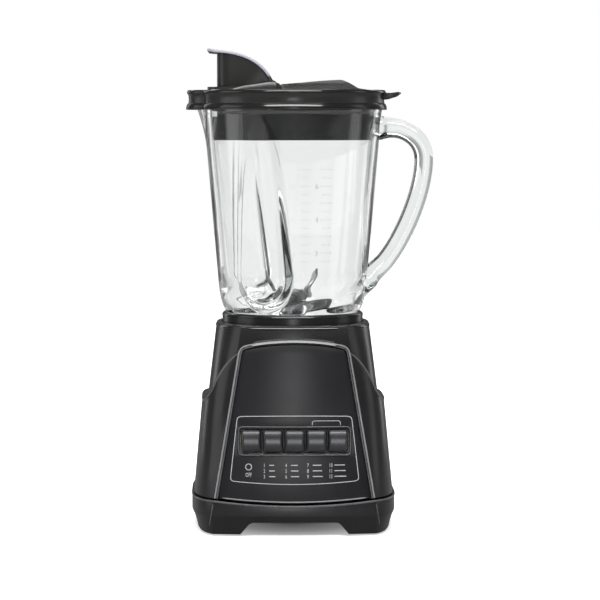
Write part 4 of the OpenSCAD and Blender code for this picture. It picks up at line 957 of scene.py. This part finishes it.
def make_jar_marks(material):
    """Raised measure marks and numbers pressed in the front of the glass."""

    def place(x, z):
        r = wall_r(z / MM) * MM
        theta = -pi / 2 + x / r
        normal = Vector((cos(theta), sin(theta), 0))
        return Vector((r * cos(theta), r * sin(theta), z)), normal

    bm = bmesh.new()
    for k in range(12):
        z = MARK_FOOT_Z + MARK_STEP * k
        half = 0.0042 if k % 2 else 0.0028
        for centre in (0.0085, 0.0265):
            line = [(centre - half + 2 * half * i / 4, z) for i in range(5)]
            ribbon(bm, line, MARK_LINE, GLASS_PROUD, place)
        if k % 4 == 1:
            for unit, x in ((2, 0.0185), (16, -0.0015)):
                add_words(bm, str((k // 4 + 1) * unit), MARK_H, x, z, place, GLASS_PROUD)
    new_piece("measure_marks", bm, material, "jar")


# ---------- edges and keys of the base

SEAM_Z, SEAM_DIP, CREASE_X = 30.0, 4.2, 67.0
CREASE_TOP_X, CREASE_TOP_Z, CREASE_LEAN = 46.7, 146.4, 0.1637
FRONT_DROP = 5.0
PANEL_INSET, FRAME_RISE, EDGE_SINK = 0.8, 0.7, 0.15
PANEL_TOP_Z, PANEL_TOP_HALF, PANEL_FOOT_HALF, PANEL_CORNER = 155.2, 42.5, 61.5, 4.5
KEY_Z, KEY_HALF_W, KEY_HALF_H, KEY_OUT = 77.4, 8.15, 9.0, 4.2
KEY_FILLET, KEY_CORNER, RIM_CORNER = 2.3, 2.6, 3
KEY_ROOT = -3.4  # how far a key's side goes into the base
KEY_BOW, KEY_FALL = 1.5, 0.034  # how far a key's face bows out, and how fast its foot falls away
KEY_STEM, KEY_STEM_UP, STEM_IN = 4.0, 5.0, 3
SHIELD_IN, SHIELD_THICK = 9.2, 0.6
STEM_HOLE, STEM_HOLE_UP = 2.6, 3.3  # half width and half height of the shield's openings
CORNERS = ((1, 1, 0), (-1, 1, 90), (-1, -1, 180), (1, -1, 270))  # signs and the angle at which each starts
# sections of (across, out) pairs whose facets look up at the lamp over the camera
LOWER_LIP = [(-1.9, -0.6), (-1.9, 0.9), (-1.6, 1.35), (-1.2, 1.5), (-0.2, 1.25), (0.8, 0.93), (1.6, 0.6),
             (2.2, 0.1), (2.3, -0.6)]
DECK_LIP = [(-1.3, -0.5), (-1.3, 0.1), (-1.0, 0.45), (-0.6, 0.5), (0.2, 0.28), (1.0, 0.02), (1.8, -0.5)]
RING_LIP = [(-1.6, -0.6), (-1.6, 0.0), (-1.2, 0.5), (-0.8, 0.55), (0.0, 0.25), (0.7, -0.1), (1.1, -0.6)]
LIP_TAPER, RING_AROUND = 9, 240


def seam_at(x):
    return SEAM_Z - SEAM_DIP * (1 - (min(abs(x), CREASE_X) / CREASE_X) ** 2)


def crease_at(z):
    return CREASE_TOP_X + (CREASE_TOP_Z - z) * CREASE_LEAN


def front_line():
    """Where the cowl's front would stand at height zero, and how far it leans back for each millimetre."""
    tree = tree_of("control_panel")
    low, high = (front_point(tree, 0.0, z * MM)[0].y / MM for z in (60, 140))
    lean = (high - low) / (140 - 60)
    return low - lean * 60 - PANEL_INSET, lean


FRONT_Y, FRONT_LEAN = front_line()
FRONT_ANGLE = atan(FRONT_LEAN)
INWARD = Vector((0, cos(FRONT_ANGLE), -sin(FRONT_ANGLE)))  # square to the front, into the base
UP_FRONT = Vector((0, sin(FRONT_ANGLE), cos(FRONT_ANGLE)))


def cowl_front(x, z, out=0.0):
    """A point of the cowl's curved front, in millimetres, and the way it faces."""
    c = crease_at(z)
    slope = FRONT_LEAN + 2 * FRONT_DROP * CREASE_LEAN * x ** 2 / c ** 3
    facing = Vector((2 * FRONT_DROP * x / c ** 2, -1, slope)).normalized()
    spot = Vector((x, FRONT_Y + FRONT_LEAN * z + FRONT_DROP * (x / c) ** 2, z))
    return spot + facing * out, facing


def panel_line(grow):
    """The panel's outline in the front view, grown, from its left foot over the top to its right foot."""
    side_z = PANEL_TOP_Z - 4.4
    top = [(0, PANEL_TOP_Z + grow), (24, PANEL_TOP_Z + grow - 0.4), (PANEL_TOP_HALF - 5, side_z + 0.4 + grow)]
    right = bezier_run(top, 12) + arc(PANEL_TOP_HALF - 4.7, side_z - 4.1, PANEL_CORNER + grow, 70, -12, 6)
    right.append((PANEL_FOOT_HALF + grow + 0.35, seam_at(60) + 2.1))
    return evened([(-x, z) for x, z in reversed(right)] + right[1:], 1.5)


def girdle(name, height, start=-pi / 2, turn=2 * pi, count=360):
    """(point, facing) pairs round a node's side, all the way or over a turn; height(x) gives the level."""
    tree = tree_of(name)
    path = []
    for k in range(count + (0 if turn > 6 else 1)):
        a = start + turn * k / count
        ray = Vector((cos(a), sin(a), 0))
        x = 75.0 * ray.x
        for _ in range(3):
            z = height(x)
            hit, normal, _, _ = tree.ray_cast(ray * 0.2 + Vector((0, 0, z * MM)), -ray)
            if hit is None:
                raise ValueError(f"no side of {name} at {a:.3f}, {z:.1f}")
            x = hit.x / MM
        path.append((hit / MM, normal if normal.dot(ray) > 0 else -normal))
    return softened(path)


def cowl_step():
    """The cowl's upper edge, from the front's right round the back to the front's left."""
    tree = tree_of("cowl")
    swoop = bezier_run([(46, 148.4), (59, 138.8), (67.2, 117)], 12) + [(71, 111), (73.6, 107.6)]
    front = []
    for x, z in evened(swoop, 1.5):
        hit, normal = front_point(tree, (x - 0.5) * MM, (z - 0.7) * MM)
        front.append((hit / MM, normal))
    last = front[-1][0]
    a0 = atan2(last.y, last.x) + 0.02
    right = softened(front + girdle("cowl", lambda x: 107.0, a0, pi / 2 - a0, 120), 6)
    mirror = Vector((-1, 1, 1))
    return right + [(p * mirror, n * mirror) for p, n in reversed(right[:-1])]


def key_rim(half_w, half_h):
    """The rounded outline of the frame round the keys, as (x, z) pairs."""
    rim, r = [], RIM_CORNER
    for sx, sz, start in CORNERS:
        rim += arc((half_w - r) * sx, KEY_Z + (half_h - r) * sz, r, start, 15, 7)
    return evened(rim + rim[:1], 1.5)[:-1]


def make_frame_edge(material):
    """The bright lines round the panel and over its foot: pale beads, painted highlights of the edges there."""
    bm = bmesh.new()
    line = [cowl_front(x, z, FRAME_RISE - EDGE_SINK) for x, z in panel_line(2.6)]
    moulding(bm, line, half_round(0.75, 0.6))
    foot = [cowl_front(1.5 * i, seam_at(1.5 * i) + 2.7, -PANEL_INSET) for i in range(-39, 40)]
    moulding(bm, foot, half_round(0.6, 0.5), taper=6)
    new_piece("frame_edge", bm, material, "base")


def make_soft_edge(material):
    """Softer painted highlights, as pale beads: the frame's inner line, the pan, the cowl's step and the frame
    round the keys.
    """
    bm = bmesh.new()
    line = [cowl_front(x, z, FRAME_RISE - EDGE_SINK) for x, z in panel_line(0.95)]
    moulding(bm, line, half_round(0.55, 0.45))
    moulding(bm, girdle("bottom_pan", lambda x: seam_at(x) - 0.9), half_round(0.8, 0.4), closed=True)
    moulding(bm, cowl_step(), half_round(0.9, 0.5), taper=8)
    pan = tree_of("bottom_pan")
    for sign in (-1, 1):
        crease = [front_point(pan, sign * (crease_at(z) - 0.2) * MM, z * MM) for z in range(8, 28)]
        moulding(bm, softened([(p / MM, n) for p, n in crease]), half_round(0.5, 0.3, 0.3), taper=3)
    # the rim of the frame round the keys, and a tab under each rib
    half_h = KEY_HALF_H + 2.3
    rim = reversed(key_rim(KEY_HALF_W * 5 + 4.6, half_h))
    moulding(bm, [cowl_front(x, z, 0.1) for x, z in rim], half_round(0.6, 0.55), closed=True)
    for (_, hi), (lo, _) in zip(KEY_BOXES, KEY_BOXES[1:]):
        x0 = (hi.x + lo.x) / 2 / MM
        tab = [cowl_front(x0 + 0.4 * i, KEY_Z - half_h + 0.3, 0.3) for i in range(-5, 6)]
        moulding(bm, tab, half_round(0.8, 0.7), taper=1.2)
    new_piece("soft_edge_painted_highlight", bm, material, "base")


def make_gloss_edge(material):
    """The arch over the panel, and the deck's edge on all four sides."""
    bm = bmesh.new()
    arch = [cowl_front(x, z) for x, z in panel_line(2.4) if abs(x) < 39]
    moulding(bm, arch, LOWER_LIP, taper=LIP_TAPER)
    for middle, half in ((-90, 30), (0, 48), (90, 30), (180, 48)):
        start, turn = radians(middle - half), radians(2 * half)
        moulding(bm, girdle("upper_housing", lambda x: 167.4, start, turn, 60), DECK_LIP, taper=LIP_TAPER)
    new_piece("gloss_edge", bm, material, "base")


def make_ring_edge(material):
    """A lip round the upper edge of the locking ring."""
    bm = bmesh.new()
    _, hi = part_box("locking_ring")
    path = []
    for a in [2 * pi * k / RING_AROUND for k in range(RING_AROUND)]:
        ray = Vector((cos(a), sin(a), 0))
        path.append((ray * (hi.x / MM - 0.2) + Vector((0, 0, hi.z / MM - 1.6)), ray))
    moulding(bm, path, RING_LIP, closed=True)
    new_piece("ring_edge", bm, material, "jar")


def key_outline(inset):
    """A key's rounded outline as (u, v) pairs, with points along its straight sides too."""
    w, h, r = KEY_HALF_W - inset, KEY_HALF_H - inset, max(KEY_CORNER - inset, 0.25)
    bends = []
    for sx, sz, start in CORNERS:
        bends.append([Vector(p) for p in arc(sx * (w - r), sz * (h - r), r, start, 11.25, 9)])
    outline = []
    for bend, after in zip(bends, bends[1:] + bends[:1]):
        outline += bend + [bend[-1].lerp(after[0], i / 12) for i in range(1, 12)]
    return outline


def make_key(k, material):
    """A key with a bowed face and rounded edges, on its stem."""
    _, hi = KEY_BOXES[k - 1]
    base, _ = cowl_front(KEY_X[k - 1] / MM, KEY_Z, -PANEL_INSET)
    # inset, height out of the panel and share of the bow: the side, the rounded edge, then the face
    levels = [(0.0, KEY_ROOT, 0.0), (0.0, 0.0, 0.0)]
    for a in [pi / 2 * i / 7 for i in range(8)]:
        share = sin(a)
        levels.append((KEY_FILLET * (1 - cos(a)), KEY_OUT - KEY_FILLET + KEY_FILLET * share, share))
    levels += [(2.4 + 0.5 * i, KEY_OUT, 1.0) for i in range(12)]
    bm = bmesh.new()
    rings = []
    for inset, out, share in levels:
        ring = []
        for u, v in key_outline(inset):
            bow = KEY_BOW * (1 - (v / KEY_HALF_H) ** 2) - KEY_FALL * max(-v - 5, 0) ** 2
            spot = base + Vector((u, 0, 0)) + UP_FRONT * v - INWARD * (out + share * bow)
            ring.append(bm.verts.new(spot * MM))
        rings.append(ring)
    skin(bm, rings)
    reach = (hi.y / MM - base.y) / cos(FRONT_ANGLE) - 0.6
    corner = base + Vector((-KEY_STEM / 2, 0, 0)) - UP_FRONT * (KEY_STEM_UP / 2) + INWARD * STEM_IN
    add_box(bm, corner, Vector((KEY_STEM, 0, 0)), UP_FRONT * KEY_STEM_UP, INWARD * (reach - STEM_IN))
    key = new_piece(f"key_{k}", bm, material, f"button_{k}", angle=50)
    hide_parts(f"button_{k}")


def make_key_shield(material):
    """A black sheet behind the keys, open round each stem: a dark sheet standing in for shade, which keeps the
    eye out of the motor so that the gaps round the keys stay dark.
    """
    base, _ = cowl_front(0.0, KEY_Z, -PANEL_INSET)
    start = base + INWARD * SHIELD_IN
    half_w, half_h = KEY_HALF_W * 5 + 4.4, KEY_HALF_H + 2.0
    stems = [x / MM for x in KEY_X]
    lefts, rights = [-half_w] + [x + STEM_HOLE for x in stems], [x - STEM_HOLE for x in stems] + [half_w]
    # left, right, foot and top of each plate: two whole ones, and those between the stems, which overlap them
    plates = [(-half_w, half_w, -half_h, -STEM_HOLE_UP), (-half_w, half_w, STEM_HOLE_UP, half_h)]
    lap = STEM_HOLE_UP + 0.05
    plates += [(left, right, -lap, lap) for left, right in zip(lefts, rights)]
    bm = bmesh.new()
    for left, right, low, high in plates:
        corner = start + Vector((left, 0, 0)) + UP_FRONT * low
        add_box(bm, corner, Vector((right - left, 0, 0)), UP_FRONT * (high - low), INWARD * SHIELD_THICK)
    new_piece("key_shield", bm, material, "base")


# ---------- edges of the lid and the cap

LID_Z, LID_R, LID_AROUND = 344.9, 77.0, 480
COVER_X, COVER_R = 62.0, 25.1  # the spout's cover
LID_FOOT_BEAD = [(1.4, -1.2), (1.4, 0.9), (1.6, 1.25), (2.0, 1.3), (2.6, 1.15), (3.2, 0.96), (3.8, 0.74),
                 (4.4, 0.49), (5.0, 0.1), (5.4, -0.7), (5.4, -1.2)]
LID_TOP_BEAD = [(13.0, -1.2), (13.2, 0.2), (13.8, 0.6), (14.2, 0.62), (14.8, 0.46), (15.4, 0.25),
                (15.9, -0.05), (16.3, -0.6), (16.35, -1.2)]
COLLAR_FOOT = 360.6
COLLAR_TOP = [(-54, 361.3), (-48, 363.0), (-40, 364.9), (-32, 365.9), (-25, 367.0), (-20, 367.8),
              (-15, 367.6), (-11.9, 366.2), (-8, 366.2)]  # (x, height) along the collar's upper edge
COLLAR_X, COLLAR_END, COLLAR_HALF, COLLAR_CORNER = -53.5, -14.9, 35.1, 3
HINGE_X, HINGE_Z = -17.0, 365.3
CAP_CURVE = [(0.6, 3.2), (-7, 18.4), (-21.5, 27.6), (-47, 28.6)]  # the open cap's plate, from the hinge
CAP_SLOPE = 0.2  # how fast the plate rises past the end of its curve
PLATE_HALF = 1.1
CAP_HALF, CAP_CORNER, CAP_TIP, CAP_SIDE = 29.2, 13.0, -53.1, -24.0
CAP_LIP = [(-1.0, -0.6), (-1.0, 0.1), (-0.6, 0.45), (0.0, 0.55), (0.7, 0.5), (1.2, 0.15), (1.3, -0.6)]


def make_lid_beads(material):
    """Two beads round the lid's rim and its spout cover."""
    outline = []
    for a in [2 * pi * k / LID_AROUND for k in range(LID_AROUND)]:
        phi = a - pi
        rho = LID_R
        side = COVER_X * sin(phi)
        if cos(phi) > 0 and abs(side) < COVER_R:
            rho = max(rho, COVER_X * cos(phi) + sqrt(COVER_R ** 2 - side ** 2))
        outline.append(Vector((rho * cos(a), rho * sin(a), LID_Z)))
    path = []
    for i, p in enumerate(outline):
        t = heading(outline, i, closed=True)
        path.append((p, Vector((t.y, -t.x, 0))))
    bm = bmesh.new()
    moulding(bm, path, LID_FOOT_BEAD, closed=True)
    moulding(bm, path, LID_TOP_BEAD, closed=True)
    new_piece("lid_beads", bm, material, "lid")


def read_off(marks, x):
    """The value at x on a line through (x, value) marks, or the last value past its end."""
    for (x0, z0), (x1, z1) in zip(marks, marks[1:]):
        if x0 <= x <= x1:
            return z0 + (z1 - z0) * (x - x0) / (x1 - x0)
    return marks[-1][1]


def both_sides(half):
    """A plan outline from its +Y half."""
    return evened(half + [(x, -y) for x, y in reversed(half)], 1.2)


def make_hinge_collar(material):
    """A low wall round the cap's hinge that runs down along both sides of the opening."""
    half = [(COLLAR_X, COLLAR_HALF), (COLLAR_END, COLLAR_HALF)]
    half += arc(COLLAR_END, COLLAR_HALF - COLLAR_CORNER, COLLAR_CORNER, 90, -15, 7)
    plan = both_sides(half)
    bm = bmesh.new()
    rings = []
    for i, p in enumerate(plan):
        t = heading(plan, i)
        top = read_off(COLLAR_TOP, p.x)
        section = ((-1.4, COLLAR_FOOT), (-1.1, top - 0.7), (-0.75, top - 0.15), (0.0, top), (0.75, top - 0.15),
                   (1.1, top - 0.7), (1.1, COLLAR_FOOT))
        rings.append([bm.verts.new(Vector((p.x + t.y * wide, p.y - t.x * wide, max(z, COLLAR_FOOT))) * MM)
                      for wide, z in section])
    skin(bm, rings)
    new_piece("hinge_collar", bm, material, "lid", angle=40)


def cap_plate(x):
    """Height of the middle of the open cap's plate, from the hinge."""
    end_x, end_z = CAP_CURVE[-1]
    if x < end_x:
        return end_z + CAP_SLOPE * (end_x - x) - PLATE_HALF
    low, high = 0.0, 1.0
    for _ in range(30):
        t = (low + high) / 2
        low, high = (t, high) if bezier(CAP_CURVE, t)[0] > x else (low, t)
    d = (bezier(CAP_CURVE, min(t + 0.01, 1)) - bezier(CAP_CURVE, max(t - 0.01, 0))).normalized()
    return bezier(CAP_CURVE, t)[1] - PLATE_HALF / max(abs(d.x), 0.35)


def make_cap_rim(material):
    """The pale rounded rim along the edge of the cap's curved plate: a painted reflection of the bright room,
    caught at the plate's edge.
    """
    half = [(CAP_SIDE, CAP_HALF), (CAP_TIP + CAP_CORNER, CAP_HALF)]
    half += arc(CAP_TIP + CAP_CORNER, CAP_HALF - CAP_CORNER, CAP_CORNER, 90, 9, 11)
    plan = both_sides(half)
    flat = []
    for i, p in enumerate(plan):
        t = heading(plan, i)
        face = Vector((-t.y, t.x, 0))
        outward = face.x * (p.x - CAP_SIDE) + face.y * p.y > 0
        flat.append((Vector((HINGE_X + p.x, p.y, HINGE_Z + cap_plate(p.x))), face if outward else -face))
    steep = []
    t = 0.09
    while bezier(CAP_CURVE, t)[0] > -23:
        p = bezier(CAP_CURVE, t)
        d = (bezier(CAP_CURVE, t + 0.01) - p).normalized()
        steep.append(Vector((HINGE_X + p[0] - PLATE_HALF * d[1], 0, HINGE_Z + p[1] + PLATE_HALF * d[0])))
        t += 0.02
    reach = Vector((0, CAP_HALF, 0))
    path = [(p + reach, Vector((0, 1, 0))) for p in steep] + flat
    path += [(p - reach, Vector((0, -1, 0))) for p in reversed(steep)]
    bm = bmesh.new()
    moulding(bm, path, CAP_LIP, taper=1.5)
    new_piece("cap_rim", bm, material, "pour_cap", angle=50)


# ---------- the scene

make_camera()
make_studio()
M = make_materials()
make_floor()
finish_cad(M)
make_glass(M["clear_glass"])
make_panel_print(M["print"])
make_frame_edge(M["edge_bright_painted_highlight"])
make_soft_edge(M["edge_soft_painted_highlight"])
make_gloss_edge(M["edge_gloss"])
make_ring_edge(M["edge_gloss"])
for number in range(1, 6):
    make_key(number, M["button_grey"])
make_key_shield(M["rubber"])
make_lid_beads(M["edge_gloss"])
make_hinge_collar(M["lid_black"])
make_cap_rim(M["cap_edge_painted_reflection"])
make_jar_marks(M["clear_glass"])
